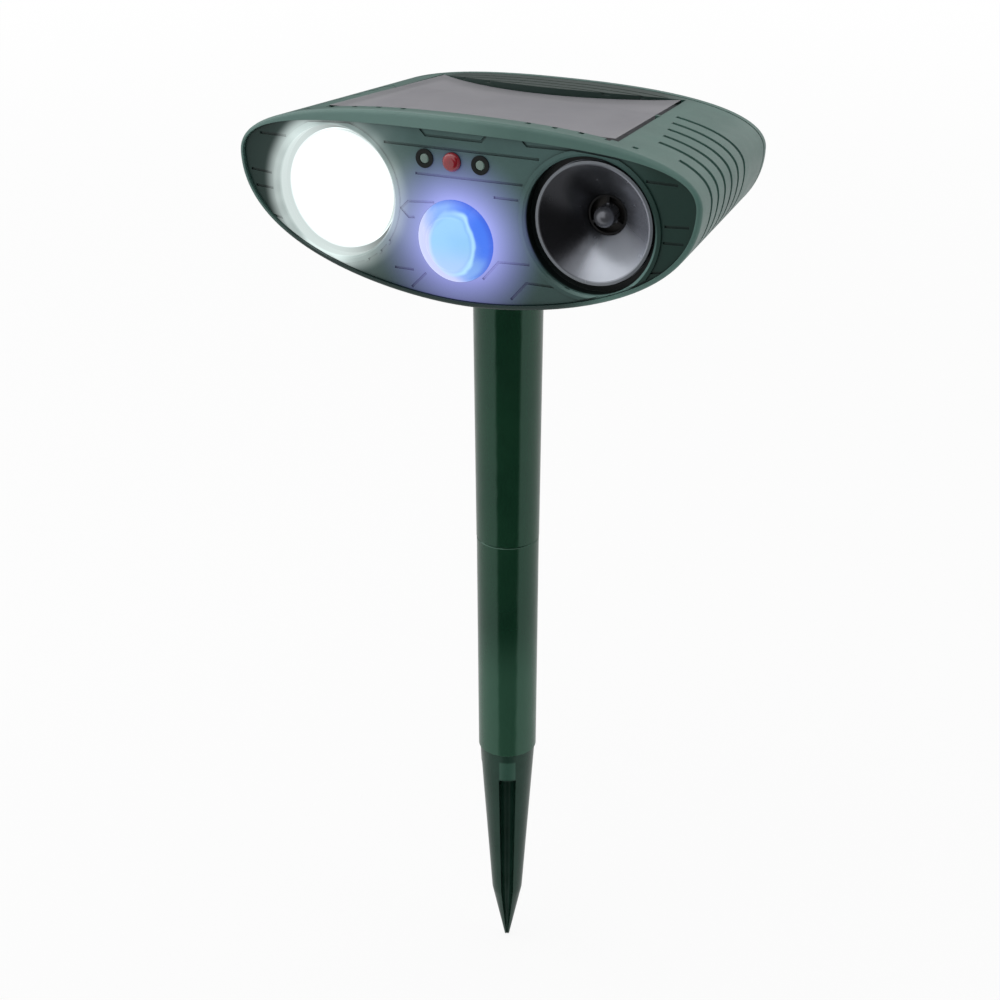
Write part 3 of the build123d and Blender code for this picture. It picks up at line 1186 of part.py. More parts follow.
with BuildPart() as ground_spike:
    with BuildSketch(Plane.XZ):
        with BuildLine():
            Polyline((0, SPIGOT_LENGTH), (SPIKE_SPIGOT - SPIGOT_CHAMFER, SPIGOT_LENGTH),
                     (SPIKE_SPIGOT, SPIGOT_LENGTH - SPIGOT_CHAMFER), (SPIKE_SPIGOT, 0), (SPIKE_RADIUS, 0),
                     (SPIKE_KNEE_RADIUS, -SPIKE_KNEE), (SPIKE_POINT, -SPIKE_LENGTH), (0, -SPIKE_LENGTH),
                     (0, SPIGOT_LENGTH))
        make_face()
    revolve(axis=Axis.Z)
    add(spike_tabs.part)
    for turn in range(FLUTE_COUNT):
        angle = radians(FLUTE_TURN + 360 / FLUTE_COUNT * turn)
        way = Vector(cos(angle), sin(angle), 0)
        for (width, reach), down in ((FLUTE_TOP, FLUTE_START), (FLUTE_KNEE, SPIKE_KNEE),
                                     (FLUTE_POINT, SPIKE_LENGTH)):
            with BuildSketch(Plane(origin=way * reach - Vector(0, 0, down),
                                   x_dir=(-sin(angle), cos(angle), 0), z_dir=(0, 0, -1))):
                Circle(width / 2)
                Rectangle(width, 2 * SPIKE_RADIUS, align=(Align.CENTER, Align.MIN))
        loft(ruled=True, mode=Mode.SUBTRACT)
save(ground_spike.part, "ground_spike")
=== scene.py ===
"""The looks of a solar ultrasonic pest repeller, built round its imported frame. Lengths are in metres."""
import json
import math

import bmesh
import bpy
from mathutils import Matrix, Vector


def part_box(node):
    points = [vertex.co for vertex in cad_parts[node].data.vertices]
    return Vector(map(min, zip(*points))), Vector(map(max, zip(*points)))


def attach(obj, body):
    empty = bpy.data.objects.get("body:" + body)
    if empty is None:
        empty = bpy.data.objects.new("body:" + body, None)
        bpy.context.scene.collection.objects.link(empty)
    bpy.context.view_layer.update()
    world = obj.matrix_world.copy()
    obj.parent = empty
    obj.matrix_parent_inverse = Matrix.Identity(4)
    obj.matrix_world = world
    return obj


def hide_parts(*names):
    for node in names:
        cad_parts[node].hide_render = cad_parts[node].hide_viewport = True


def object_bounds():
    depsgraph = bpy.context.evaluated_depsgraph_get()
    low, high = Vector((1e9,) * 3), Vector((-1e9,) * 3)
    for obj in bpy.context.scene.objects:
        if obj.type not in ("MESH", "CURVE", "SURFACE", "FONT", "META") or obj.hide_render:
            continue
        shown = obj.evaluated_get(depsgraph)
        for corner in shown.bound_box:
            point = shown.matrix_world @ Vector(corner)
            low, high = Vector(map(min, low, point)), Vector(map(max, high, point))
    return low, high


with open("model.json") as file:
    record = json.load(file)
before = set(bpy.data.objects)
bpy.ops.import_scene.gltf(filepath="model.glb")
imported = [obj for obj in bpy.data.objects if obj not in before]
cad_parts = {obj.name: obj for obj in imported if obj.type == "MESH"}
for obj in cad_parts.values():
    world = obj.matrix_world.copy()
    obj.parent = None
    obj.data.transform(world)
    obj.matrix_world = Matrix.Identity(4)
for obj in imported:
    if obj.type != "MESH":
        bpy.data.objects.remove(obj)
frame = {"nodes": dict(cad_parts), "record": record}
CAD_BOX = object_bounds()
NODES = frame["nodes"]
MM = 0.001

# ---------------------------------------------------------------- camera
CAMERA_PLACE = (0.2464, -0.5060, 0.3715)
CAMERA_DIP = 25.61
CAMERA_TURN = 26.25
CAMERA_LENS = 63.3
FILM_WIDTH = 36.0

camera = bpy.data.objects.new("viewpoint", bpy.data.cameras.new("viewpoint"))
bpy.context.scene.collection.objects.link(camera)
camera.data.lens = CAMERA_LENS
camera.data.sensor_width = FILM_WIDTH
camera.location = CAMERA_PLACE
camera.rotation_euler = (math.radians(90 - CAMERA_DIP), 0, math.radians(CAMERA_TURN))
bpy.context.scene.camera = camera
bpy.context.scene.view_settings.view_transform = "Standard"


# ---------------------------------------------------------------- node trees
class Web:
    """A node tree that is written one node at a time."""

    def __init__(self, tree):
        self.tree = tree
        tree.nodes.clear()

    def give(self, node, key, value):
        """Sets a node's input to a number, a colour, a vector or another node's output."""
        if isinstance(value, bpy.types.NodeSocket):
            self.tree.links.new(value, node.inputs[key])
        else:
            node.inputs[key].default_value = value

    def put(self, kind, inputs=None, **settings):
        """Adds a node of a kind, with its settings and inputs."""
        node = self.tree.nodes.new(kind)
        for setting, value in settings.items():
            setattr(node, setting, value)
        for key, value in (inputs or {}).items():
            self.give(node, key, value)
        return node

    def math(self, operation, a, b=0.0):
        return self.put("ShaderNodeMath", {0: a, 1: b}, operation=operation).outputs[0]

    def times(self, first, *others):
        """The product of two or more numbers."""
        for other in others:
            first = self.math("MULTIPLY", first, other)
        return first

    def apart(self, vector):
        """A vector's three numbers."""
        return self.put("ShaderNodeSeparateXYZ", {0: vector}).outputs

    def together(self, x=0.0, y=0.0, z=0.0):
        """A vector from its three numbers."""
        return self.put("ShaderNodeCombineXYZ", {0: x, 1: y, 2: z}).outputs[0]

    def vector(self, operation, a, b=(0, 0, 0), out=0):
        return self.put("ShaderNodeVectorMath", {0: a, 1: b}, operation=operation).outputs[out]

    def length(self, vector):
        return self.vector("LENGTH", vector, out=1)

    def toward(self, vector, way):
        """How well a vector points the given way: 1 with it, -1 against it."""
        return self.vector("DOT_PRODUCT", self.vector("NORMALIZE", vector), way, out=1)

    def fade(self, value, start, end, low=0.0, high=1.0, kind="SMOOTHSTEP"):
        """Goes from low to high as value goes from start to end."""
        return self.put("ShaderNodeMapRange", {"Value": value, "From Min": start, "From Max": end,
                                               "To Min": low, "To Max": high},
                        interpolation_type=kind).outputs["Result"]

    def noise(self, where, scale, detail=2.0, rough=0.5):
        return self.put("ShaderNodeTexNoise", {"Vector": where, "Scale": scale, "Detail": detail,
                                               "Roughness": rough}).outputs["Fac"]

    def mix(self, share, a, b):
        """The colour a where share is 0, and the colour b where it is 1."""
        return self.put("ShaderNodeMix", {0: share, 6: a, 7: b}, data_type="RGBA").outputs[2]


def tone(*rgb):
    """A colour from its 0 to 255 display values."""
    display = [v / 255 for v in rgb]
    return tuple(v / 12.92 if v <= 0.04045 else ((v + 0.055) / 1.055) ** 2.4 for v in display) + (1.0,)


def dimmed(colour, share):
    return tuple(share * v for v in colour[:3]) + (1.0,)


BLACK = (0.0, 0.0, 0.0, 1.0)
PLASTIC_IOR = 1.5
GRAIN_STRENGTH = 0.6
SMEARS_FINER = 3.1      # the uneven gloss has a finer pattern than the clouds of colour
ALONG_FACE = (1, 0, 1)  # keeps what lies in the plane of the face


def dress(web, sockets):
    """Gives the finish's shader its numbers, colours and painted values, by socket."""
    for key, value in sockets.items():
        web.give(web.shader, key, value)


def surface(name, colour, shade, rough, grain=2600.0, grain_height=0.00003, cloud=45.0, edge=0.0, metal=0.0,
            coat=0.0, coat_rough=0.1, rough_spread=0.12, shine=0.5, tint=(1, 1, 1)):
    """A finish with a cloudy colour, an uneven gloss and a fine grain; edge rounds its arrises."""
    material = bpy.data.materials.new(name)
    material.use_nodes = True
    web = Web(material.node_tree)
    web.material = material
    web.place = web.put("ShaderNodeTexCoord").outputs["Object"]
    web.shader = web.put("ShaderNodeBsdfPrincipled")
    web.put("ShaderNodeOutputMaterial", {"Surface": web.shader.outputs[0]})
    clouds = web.fade(web.noise(web.place, cloud, 4.0, 0.6), 0.3, 0.7)
    web.colour = web.mix(clouds, shade, colour)
    smears = web.noise(web.place, cloud * SMEARS_FINER, 3.0)
    gloss = web.fade(smears, 0.25, 0.75, rough * (1 - rough_spread), rough * (1 + rough_spread), "LINEAR")
    bump = web.put("ShaderNodeBump", {"Height": web.noise(web.place, grain, 2.0), "Strength": GRAIN_STRENGTH,
                                      "Distance": grain_height})
    if edge:
        arris = web.put("ShaderNodeBevel", {"Radius": edge}, samples=4)
        web.give(bump, "Normal", arris.outputs[0])
    dress(web, {"Base Color": web.colour, "Roughness": gloss, "Normal": bump.outputs[0], "IOR": PLASTIC_IOR,
                "Specular IOR Level": shine, "Specular Tint": tuple(tint) + (1,), "Metallic": metal,
                "Coat Weight": coat, "Coat Roughness": coat_rough})
    return web


def off_centre(web, centre):
    """The way from a centre to the place on the piece."""
    return web.vector("SUBTRACT", web.place, tuple(centre))


def on_face(web, centre):
    """The same, in the plane of the face."""
    return web.vector("MULTIPLY", off_centre(web, centre), ALONG_FACE)


def round_share(web, centre, start, end):
    """1 inside the radius start round a centre on the face, 0 outside end."""
    return web.fade(web.length(on_face(web, centre)), start, end, 1.0, 0.0)


def glow_round(web, centre, start, end, colour, way, least, kind="LINEAR", falloff=2.0, streaks=0.0):
    """Light that a lamp throws on the plastic round it. It fades outwards from the lamp's edge, and from full
    in the given way to its least share on the other side."""
    flat = on_face(web, centre)
    share = web.math("POWER", web.fade(web.length(flat), start, end, 1.0, 0.0, kind), falloff)
    share = web.times(share, web.fade(web.toward(flat, way), -0.7, 0.6, least, 1.0))
    if streaks:
        rays = web.noise(web.vector("NORMALIZE", flat), 1.7, 1.0)
        share = web.times(share, web.fade(rays, 0.35, 0.62, 1 - streaks, 1.0))
    return web.mix(share, BLACK, colour)


# ---------------------------------------------------------------- places read from the frame
def middle(node):
    low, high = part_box(node)
    return (Vector(low) + Vector(high)) / 2


LAMP = middle("lamp_lens")
HORN = middle("driver_can")
PIR = middle("pir_lens")
POWER = middle("power_button")
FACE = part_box("front_panel")[0][1]
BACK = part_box("rear_screws")[1][1]
TIP_Z = LAMP.z + 9.3 * MM                           # the height of the head's two tips
THROAT_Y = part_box("phase_plug")[1][1] - 1.8 * MM    # how deep the horn's throat starts

# ---------------------------------------------------------------- panel finish
GREEN = tone(80, 113, 105)
GREEN_DEEP = tone(74, 105, 98)
GLOW_VIOLET = (0.39, 0.39, 1.0, 1.0)
GLOW_WHITE = (0.86, 0.97, 0.95, 1.0)
TOWARD_TIP = (-0.95, 0, -0.30)      # the side of the lamp where its glow is strongest

PANEL_TIP_SHADE = (0.050, 0.068)         # distances from the middle
PANEL_HORN_SIDE_SHADE = (0.040, 0.062)
PANEL_KEEL_SHADE = (TIP_Z - 0.012, TIP_Z - 0.036)
POCKET_DEPTH = (FACE + 0.0010, FACE + 0.0022)
POCKET_EDGE = (0.0216, 0.0218)      # radii
BEVEL_EDGE = (0.0221, 0.0223)
BEVEL_LIT_WAY = (0.42, 0.0, -0.60)
CREASE_REACH = 0.0014
VIOLET_REACH = (0.0132, 0.0322)
WHITE_REACH = (0.0222, 0.0276)
HAZE_REACH = (0.0208, 0.0370)


def paint_panel(web):
    """Painted shade at the tips, keel, horn side, pockets and creases, a painted highlight on the horn's bevel,
    and painted glow from the lamp and sensor.
    """
    across, into, up = web.apart(web.place)
    # Painted shade: darker towards the tips, low on the keel and beside the horn.
    tips = web.fade(web.math("ABSOLUTE", across), *PANEL_TIP_SHADE)
    colour = web.mix(tips, web.colour, tone(26, 50, 45))
    colour = web.mix(web.times(web.fade(up, *PANEL_KEEL_SHADE), 0.55), colour, tone(34, 54, 50))
    colour = web.mix(web.times(web.fade(across, *PANEL_HORN_SIDE_SHADE), 0.6), colour, tone(16, 50, 42))
    # Painted shade: the pockets round the lamp and the horn are nearly black deep down.
    deep = web.fade(into, *POCKET_DEPTH)
    lamp_pocket = web.times(round_share(web, LAMP, *POCKET_EDGE), deep)
    horn_pocket = web.times(round_share(web, HORN, *POCKET_EDGE), deep)
    colour = web.mix(web.math("MAXIMUM", lamp_pocket, horn_pocket), colour, tone(12, 20, 19))
    # Painted highlight: the lower side of the bevel round the horn is paler, as if lit.
    bevel_highlight = web.times(round_share(web, HORN, *BEVEL_EDGE), web.math("SUBTRACT", 1.0, deep),
                      web.fade(web.toward(off_centre(web, HORN), BEVEL_LIT_WAY), 0.10, 0.62))
    colour = web.mix(bevel_highlight, colour, tone(104, 136, 130))
    # Painted shade: ambient occlusion darkens the colour in the creases.
    crease_shade = web.put("ShaderNodeAmbientOcclusion", {"Distance": CREASE_REACH}, samples=6).outputs["AO"]
    openness = web.fade(crease_shade, 0.12, 0.78)
    colour = web.mix(openness, tone(18, 32, 32), colour)

    violet = glow_round(web, PIR, *VIOLET_REACH, dimmed(GLOW_VIOLET, 0.84), (0.75, 0, 0.66), 0.74)
    white = glow_round(web, LAMP, *WHITE_REACH, dimmed(GLOW_WHITE, 0.76), TOWARD_TIP, 0.26, "SMOOTHSTEP", 1.0,
                       streaks=0.4)
    haze = glow_round(web, LAMP, *HAZE_REACH, dimmed(GLOW_WHITE, 0.16), (0.96, 0, -0.28), 0.25, streaks=0.5)
    glow = web.vector("ADD", web.vector("ADD", violet, white), haze)
    glow = web.mix(web.fade(openness, 0.0, 1.0, 0.35, 1.0), BLACK, glow)
    glow = web.mix(horn_pocket, glow, BLACK)
    lit_wall = web.fade(web.toward(off_centre(web, LAMP), TOWARD_TIP), -0.6, 0.5)
    pocket_glow = web.mix(lit_wall, dimmed(GLOW_WHITE, 0.22), dimmed(GLOW_WHITE, 0.74))
    glow = web.mix(lamp_pocket, glow, pocket_glow)
    dress(web, {"Base Color": colour, "Emission Color": glow, "Emission Strength": 1.0})


panel_finish = surface("satin green panel plastic", tone(73, 100, 97), tone(66, 93, 90), 0.36, edge=0.0002,
                       shine=0.32)
paint_panel(panel_finish)

# ---------------------------------------------------------------- housing finish
HUMP_BACK = (0.006, 0.012)
HUMP_SIDES = (0.050, 0.036)
HUMP_RISE = (TIP_Z + 0.006, TIP_Z + 0.010)
GROOVES = 5                         # the long ones on each shoulder, behind a short one
GROOVE_FRONT = -0.0249              # the short one's place
GROOVE_FIRST = -0.0169              # the first long one's place
GROOVE_PITCH = 0.00835
GROOVE_SHADE = (0.0003, 0.0013)     # from its middle line
GROOVE_STARTS = (0.0583, 0.0565)    # distances from the middle, of the first and of the others
GROOVE_FRONT_START = 0.068
GROOVE_FOOT = TIP_Z - 0.024
LIP_FRONT = (-0.0320, -0.0350)
LIP_RISE = (TIP_Z + 0.002, TIP_Z + 0.009)
LIP_SIDES = (0.024, -0.010)
KEEL_FRONT = (-0.0335, -0.0350)
KEEL_RISE = (TIP_Z - 0.014, TIP_Z - 0.030)
KEEL_SIDES = (0.052, 0.034)


def paint_housing(web):
    """Painted shade on the hump and in the grooves, a painted highlight on the top of the rim over the face,
    and painted shade on the rim under it.
    """
    across, back, up = web.apart(web.place)
    out = web.math("ABSOLUTE", across)
    # Painted shade: the hump is darker.
    hump = web.times(web.fade(back, *HUMP_BACK), web.fade(out, *HUMP_SIDES), web.fade(up, *HUMP_RISE))
    colour = web.mix(hump, web.colour, tone(30, 52, 46))

    # Painted shade in the grooves.
    behind_first = web.math("SUBTRACT", back, GROOVE_FIRST)
    from_line = web.math("PINGPONG", behind_first, GROOVE_PITCH / 2)
    start = web.fade(behind_first, 0.0, GROOVE_PITCH, *GROOVE_STARTS, "LINEAR")
    lines = web.times(web.fade(from_line, *GROOVE_SHADE, 1.0, 0.0), web.math("GREATER_THAN", out, start),
                      web.math("GREATER_THAN", behind_first, -0.002),
                      web.math("LESS_THAN", behind_first, (GROOVES - 0.7) * GROOVE_PITCH))
    from_front = web.math("ABSOLUTE", web.math("SUBTRACT", back, GROOVE_FRONT))
    front_line = web.times(web.fade(from_front, *GROOVE_SHADE, 1.0, 0.0),
                           web.math("GREATER_THAN", out, GROOVE_FRONT_START))
    lines = web.times(web.math("MAXIMUM", lines, front_line), web.math("GREATER_THAN", up, GROOVE_FOOT), 0.3)
    colour = web.mix(lines, colour, tone(30, 54, 48))

    # Painted highlight: the top of the rim over the face is paler.
    lip_highlight = web.times(web.fade(back, *LIP_FRONT), web.fade(up, *LIP_RISE), web.fade(across, *LIP_SIDES, 0.0, 0.5))
    colour = web.mix(lip_highlight, colour, tone(112, 142, 136))
    # Painted shade: the rim under the face is darker.
    keel = web.times(web.fade(up, *KEEL_RISE), web.fade(back, *KEEL_FRONT), web.fade(across, *KEEL_SIDES))
    colour = web.mix(keel, colour, tone(26, 50, 46))
    dress(web, {"Base Color": colour})


housing_finish = surface("satin green plastic", GREEN, GREEN_DEEP, 0.36, edge=0.00035, grain_height=0.00004,
                         shine=0.42)
paint_housing(housing_finish)
cover_finish = surface("satin green cover plastic", GREEN, GREEN_DEEP, 0.40, edge=0.0003, grain_height=0.00004,
                       shine=0.42)

# ---------------------------------------------------------------- pole and spike finishes
PALER_FOOT = (0.058, 0.030)          # heights on the lower pole
TAB_BEARING = 64                    # degrees
TAB_SPACING = 60                    # half the angle from one tab to the next
TAB_HALF_WIDTH = (0.0034, 0.0027)
TAB_FOOT = (-0.0118, -0.0106)
TAB_TOP = (-0.0026, -0.0038)


def paint_pole(web):
    """The lower pole is paler towards its foot."""
    paler_foot = web.fade(web.apart(web.place)[2], *PALER_FOOT)
    dress(web, {"Base Color": web.mix(paler_foot, web.colour, tone(42, 76, 59))})


def paint_spike(web):
    """Painted highlight: the three raised tabs under the shoulder are paler."""
    east, north, rise = web.apart(web.place)
    bearing = web.math("ADD", web.math("ARCTAN2", north, east), math.radians(TAB_BEARING))
    turn = web.math("PINGPONG", bearing, math.radians(TAB_SPACING))
    girth = web.length(web.vector("MULTIPLY", web.place, (1, 1, 0)))
    aside = web.times(girth, web.math("SINE", turn))
    # Painted highlight on the tabs.
    tab = web.times(web.fade(aside, *TAB_HALF_WIDTH), web.fade(rise, *TAB_FOOT), web.fade(rise, *TAB_TOP), 0.6)
    dress(web, {"Base Color": web.mix(tab, web.colour, tone(62, 98, 84))})


pole_finish = surface("glossy green pole plastic", tone(22, 56, 38), tone(15, 47, 31), 0.13, cloud=26.0,
                      grain=700.0, grain_height=0.000012, rough_spread=0.3, shine=0.72, tint=(0.62, 1.0, 0.84))
paint_pole(pole_finish)
spike_finish = surface("glossy dark green spike plastic", tone(30, 56, 46), tone(20, 46, 36), 0.2, cloud=60.0,
                       grain=900.0, grain_height=0.00002, edge=0.0003, shine=0.42, tint=(0.7, 1.0, 0.88))
paint_spike(spike_finish)

# ---------------------------------------------------------------- button finish
MARK_RADIUS = 0.0023
MARK_HALF_LINE = (0.0003, 0.0002)
MARK_GAP = (0.0011, 0.0010)
BAR_FOOT = (0.0003, 0.0004)
BAR_TOP = (0.0029, 0.0028)


def paint_button(web):
    """The button's mark is an open ring with a bar in its gap."""
    flat = on_face(web, POWER)
    side, _, rise = web.apart(flat)
    side = web.math("ABSOLUTE", side)
    ring = web.fade(web.math("ABSOLUTE", web.math("SUBTRACT", web.length(flat), MARK_RADIUS)), *MARK_HALF_LINE)
    gap = web.times(web.fade(side, *MARK_GAP), web.math("GREATER_THAN", rise, 0.0))
    bar = web.times(web.fade(side, *MARK_HALF_LINE), web.fade(rise, *BAR_FOOT), web.fade(rise, *BAR_TOP))
    mark = web.math("MAXIMUM", bar, web.times(ring, web.math("SUBTRACT", 1.0, gap)))
    dress(web, {"Base Color": web.mix(mark, web.colour, tone(176, 182, 178))})


button_finish = surface("soft grey rubber", tone(58, 62, 61), tone(48, 51, 50), 0.62, grain=1800.0)
paint_button(button_finish)

# ---------------------------------------------------------------- horn finishes
HORN_LIT_SIDE = (HORN.x + 0.001, HORN.x + 0.015)
HORN_SHADED_WAY = (-0.985, 0, 0.174)
HORN_STREAK_WAY = (0.52, 0, -0.854)
HORN_RIM_DIM_SIDE = (HORN.x + 0.004, HORN.x + 0.014)
HORN_RIM_EDGE = (0.0182, 0.0186)
HORN_THROAT_SHADE = (THROAT_Y - 0.0006, THROAT_Y + 0.0002)
HORN_METAL = 0.82
HORN_METAL_STREAK = 0.40
PLUG_EDGE = (0.0036, 0.0039)


def paint_horn(web):
    """Painted light and shade on the metallised skin: paler on the right, a painted highlight streak low down,
    painted shade on the left and in the throat, and a rim paler on the left.
    """
    across, into, _ = web.apart(web.place)
    flat = on_face(web, HORN)
    # Painted light on the right side, and painted shade on the left side.
    colour = web.mix(web.fade(across, *HORN_LIT_SIDE, 0.0, 0.8), web.colour, tone(190, 194, 206))
    smoky = web.fade(web.toward(flat, HORN_SHADED_WAY), 0.15, 0.75)
    colour = web.mix(smoky, colour, tone(62, 63, 67))
    # Painted highlight: a pale streak low down, which is also less metallic.
    pale = web.fade(web.toward(flat, HORN_STREAK_WAY), 0.55, 1.0)
    colour = web.mix(pale, colour, tone(186, 191, 201))
    # Painted light: the rim is paler on the left and dimmer on the right.
    rim = web.mix(web.fade(across, *HORN_RIM_DIM_SIDE), tone(138, 143, 149), tone(112, 118, 124))
    colour = web.mix(round_share(web, HORN, *HORN_RIM_EDGE), rim, colour)
    # Painted shade deep in the throat.
    colour = web.mix(web.fade(into, *HORN_THROAT_SHADE), colour, tone(12, 12, 14))
    metal = web.fade(pale, 0.0, 1.0, HORN_METAL, HORN_METAL_STREAK, "LINEAR")
    dress(web, {"Base Color": colour, "Metallic": metal})


def paint_plug(web):
    """The plug is nearly black outside its ball."""
    dress(web, {"Base Color": web.mix(round_share(web, HORN, *PLUG_EDGE), tone(8, 8, 10), web.colour)})


horn_finish = surface("polished metallised smoke plastic", tone(114, 117, 124), tone(98, 101, 108), 0.25,
                      cloud=90.0, grain=1200.0, grain_height=0.000012, metal=HORN_METAL)
paint_horn(horn_finish)
plug_finish = surface("polished plug plastic", tone(116, 118, 124), tone(98, 100, 106), 0.24, cloud=90.0,
                      grain=1200.0, grain_height=0.000012, metal=0.6)
paint_plug(plug_finish)

# ---------------------------------------------------------------- solar window finish
WINDOW_OPACITY = 0.55
FLAT_ENOUGH = (0.6, 0.85)           # how far up a face must look to count as flat


def paint_sheet(web):
    """The flat face keeps its tone; faces that don't look up, such as the cut edges, get painted shade, nearly
    black.
    """
    looking_up = web.apart(web.put("ShaderNodeNewGeometry").outputs["True Normal"])[2]
    dress(web, {"Base Color": web.mix(web.fade(looking_up, *FLAT_ENOUGH), tone(14, 20, 20), web.colour)})


window_finish = surface("satin solar window", tone(180, 179, 184), tone(172, 171, 177), 0.34, cloud=25.0,
                        grain=1800.0, shine=0.4)
paint_sheet(window_finish)
dress(window_finish, {"Alpha": WINDOW_OPACITY})
backing_finish = surface("grey solar backing", tone(126, 124, 132), tone(116, 114, 122), 0.6)
paint_sheet(backing_finish)

# ---------------------------------------------------------------- finishes that shine
LENS_EDGE = (0.0150, 0.0186)
SLANT = 0.6                         # how much the dome's bands lean
WOBBLE = 0.0012                     # how far their edges wander
HEART_SIZE = (0.0070, 0.0098)       # half width and half height of the dome's bright heart
HEART_ASIDE = (0.0008, 0, 0)
HEART_WOBBLE = 45
DOME_EDGE = (0.0114, 0.0132)


def paint_lamp(web):
    """The lit lens is a little dimmer towards its rim."""
    fall = web.fade(web.length(on_face(web, LAMP)), *LENS_EDGE, 1.0, 0.55)
    dress(web, {"Emission Color": web.mix(fall, tone(232, 238, 240), tone(255, 255, 255)),
                "Emission Strength": 1.25})


def paint_dome(web):
    """The lit dome goes from white to deep blue across its facets, round a pale blue heart."""
    offset = off_centre(web, PIR)
    side, _, lift = web.apart(offset)
    wobble = web.fade(web.noise(web.place, 210.0, 1.0), 0.2, 0.8, -WOBBLE, WOBBLE, "LINEAR")
    slant = web.math("ADD", web.math("ADD", side, web.times(lift, SLANT)), wobble)
    facets = web.mix(web.fade(slant, -0.0090, 0.0010), tone(212, 216, 250), tone(126, 172, 238))
    facets = web.mix(web.fade(slant, 0.0030, 0.0110), facets, tone(70, 122, 242))
    oval = web.vector("MULTIPLY", web.vector("SUBTRACT", offset, HEART_ASIDE),
                      (1 / HEART_SIZE[0], 0, 1 / HEART_SIZE[1]))
    oval = web.math("ADD", web.length(oval), web.times(wobble, HEART_WOBBLE))
    heart = web.mix(web.fade(lift, 0.002, -0.008), tone(156, 212, 250), tone(178, 212, 252))
    colour = web.mix(web.fade(oval, 0.82, 1.14), heart, facets)
    ring = web.fade(web.math("ABSOLUTE", web.math("SUBTRACT", oval, 1.03)), 0.0, 0.13, 1.0, 0.0)
    ring = web.times(ring, web.fade(side, -0.001, 0.005, 0.3, 0.85))
    colour = web.mix(ring, colour, tone(190, 240, 255))
    radius = web.length(web.vector("MULTIPLY", offset, ALONG_FACE))
    edge = web.times(web.fade(radius, *DOME_EDGE), web.fade(slant, -0.004, 0.004), 0.6)
    colour = web.mix(edge, colour, tone(58, 84, 205))
    dress(web, {"Emission Color": colour, "Emission Strength": 0.9})


lamp_finish = surface("lit lamp lens", tone(252, 252, 252), tone(244, 246, 250), 0.2, cloud=60.0)
paint_lamp(lamp_finish)
dome_finish = surface("lit milky sensor lens", tone(52, 74, 130), tone(44, 64, 118), 0.3, cloud=120.0)
paint_dome(dome_finish)
mirror_finish = surface("metallised bowl", tone(228, 230, 232), tone(205, 208, 212), 0.12, metal=1.0,
                        grain=500.0, grain_height=0.00002)
# Painted light: the bowl glows as if lit by the lamp.
dress(mirror_finish, {"Emission Color": GLOW_WHITE, "Emission Strength": 0.6})
red_finish = surface("red indicator lens", tone(138, 32, 42), tone(104, 18, 28), 0.16, cloud=200.0, coat=1.0,
                     coat_rough=0.05)
dress(red_finish, {"Emission Color": tone(190, 30, 45), "Emission Strength": 0.1})

# ---------------------------------------------------------------- plain finishes
steel_finish = surface("zinc plated steel", tone(186, 188, 192), tone(150, 153, 158), 0.28, metal=1.0,
                       cloud=500.0, grain=3000.0)
flap_finish = surface("soft green rubber", tone(44, 56, 52), tone(36, 47, 44), 0.6, grain=1800.0, edge=0.0002)
mark_finish = surface("printed grey mark", tone(206, 212, 208), tone(190, 196, 192), 0.5, cloud=300.0)
silver_finish = surface("silver cell lines", tone(196, 198, 204), tone(168, 170, 178), 0.35, metal=0.8)
FINISH_OF_SLOT = {
    "housing": housing_finish, "panel": panel_finish, "pole": pole_finish, "spike": spike_finish,
    "button": button_finish, "flap": flap_finish, "horn": horn_finish, "reflector": mirror_finish,
    "lamp_lens": lamp_finish, "fresnel": dome_finish, "window": window_finish, "backing": backing_finish,
    "led_red": red_finish, "steel": steel_finish,
    "collar": surface("fine matt collar plastic", tone(44, 62, 56), tone(36, 52, 47), 0.45),
    "knob": surface("fluted black plastic", tone(36, 40, 38), tone(28, 32, 31), 0.42, edge=0.0002),
    "seal": surface("foamed black seal", tone(24, 24, 25), tone(16, 16, 17), 0.85, grain=1500.0,
                    grain_height=0.0001),
    "can": surface("plain black moulding", tone(26, 27, 28), tone(18, 19, 20), 0.5),
    "cells": surface("grey film cells", tone(138, 136, 147), tone(128, 126, 137), 0.3, cloud=160.0,
                     grain=1400.0),
    "board": surface("green solder mask", tone(22, 92, 52), tone(14, 70, 40), 0.35, cloud=400.0, grain=1500.0,
                     grain_height=0.00004),
    "chips": surface("moulded component black", tone(38, 38, 41), tone(26, 26, 29), 0.5),
    "led_white": surface("white phosphor", tone(250, 246, 214), tone(240, 232, 190), 0.4, cloud=900.0),
    "led_blue": surface("blue lamp body", tone(90, 120, 245), tone(70, 96, 225), 0.2, coat=0.5),
    "bezel": surface("black bezel plastic", tone(9, 17, 16), tone(6, 12, 11), 0.34, shine=0.3),
    "sensor_glass": surface("smoky lens", tone(112, 134, 126), tone(84, 104, 98), 0.15, coat=0.6),
    "piezo": surface("dark lacquered disc", tone(34, 31, 28), tone(24, 22, 20), 0.4, metal=0.4, cloud=200.0),
    "cell_skin": surface("green cell sleeve", tone(56, 120, 74), tone(44, 98, 60), 0.3, cloud=120.0),
    "battery_tray": surface("black battery tray", tone(30, 31, 32), tone(21, 22, 23), 0.5),
    "pot": surface("pressed steel can", tone(172, 174, 178), tone(140, 142, 146), 0.34, metal=1.0, cloud=350.0),
}
FINISH_OF_NODE = {"rear_cover": cover_finish, "phase_plug": plug_finish}     # where it isn't its slot's
SLOT_OF_NODE = {part["node"]: part["material_slot"] for part in frame["record"]["subparts"]}
BODY_OF_NODE = {node: body for body, nodes in frame["record"]["behaviour"]["bodies"].items() for node in nodes}


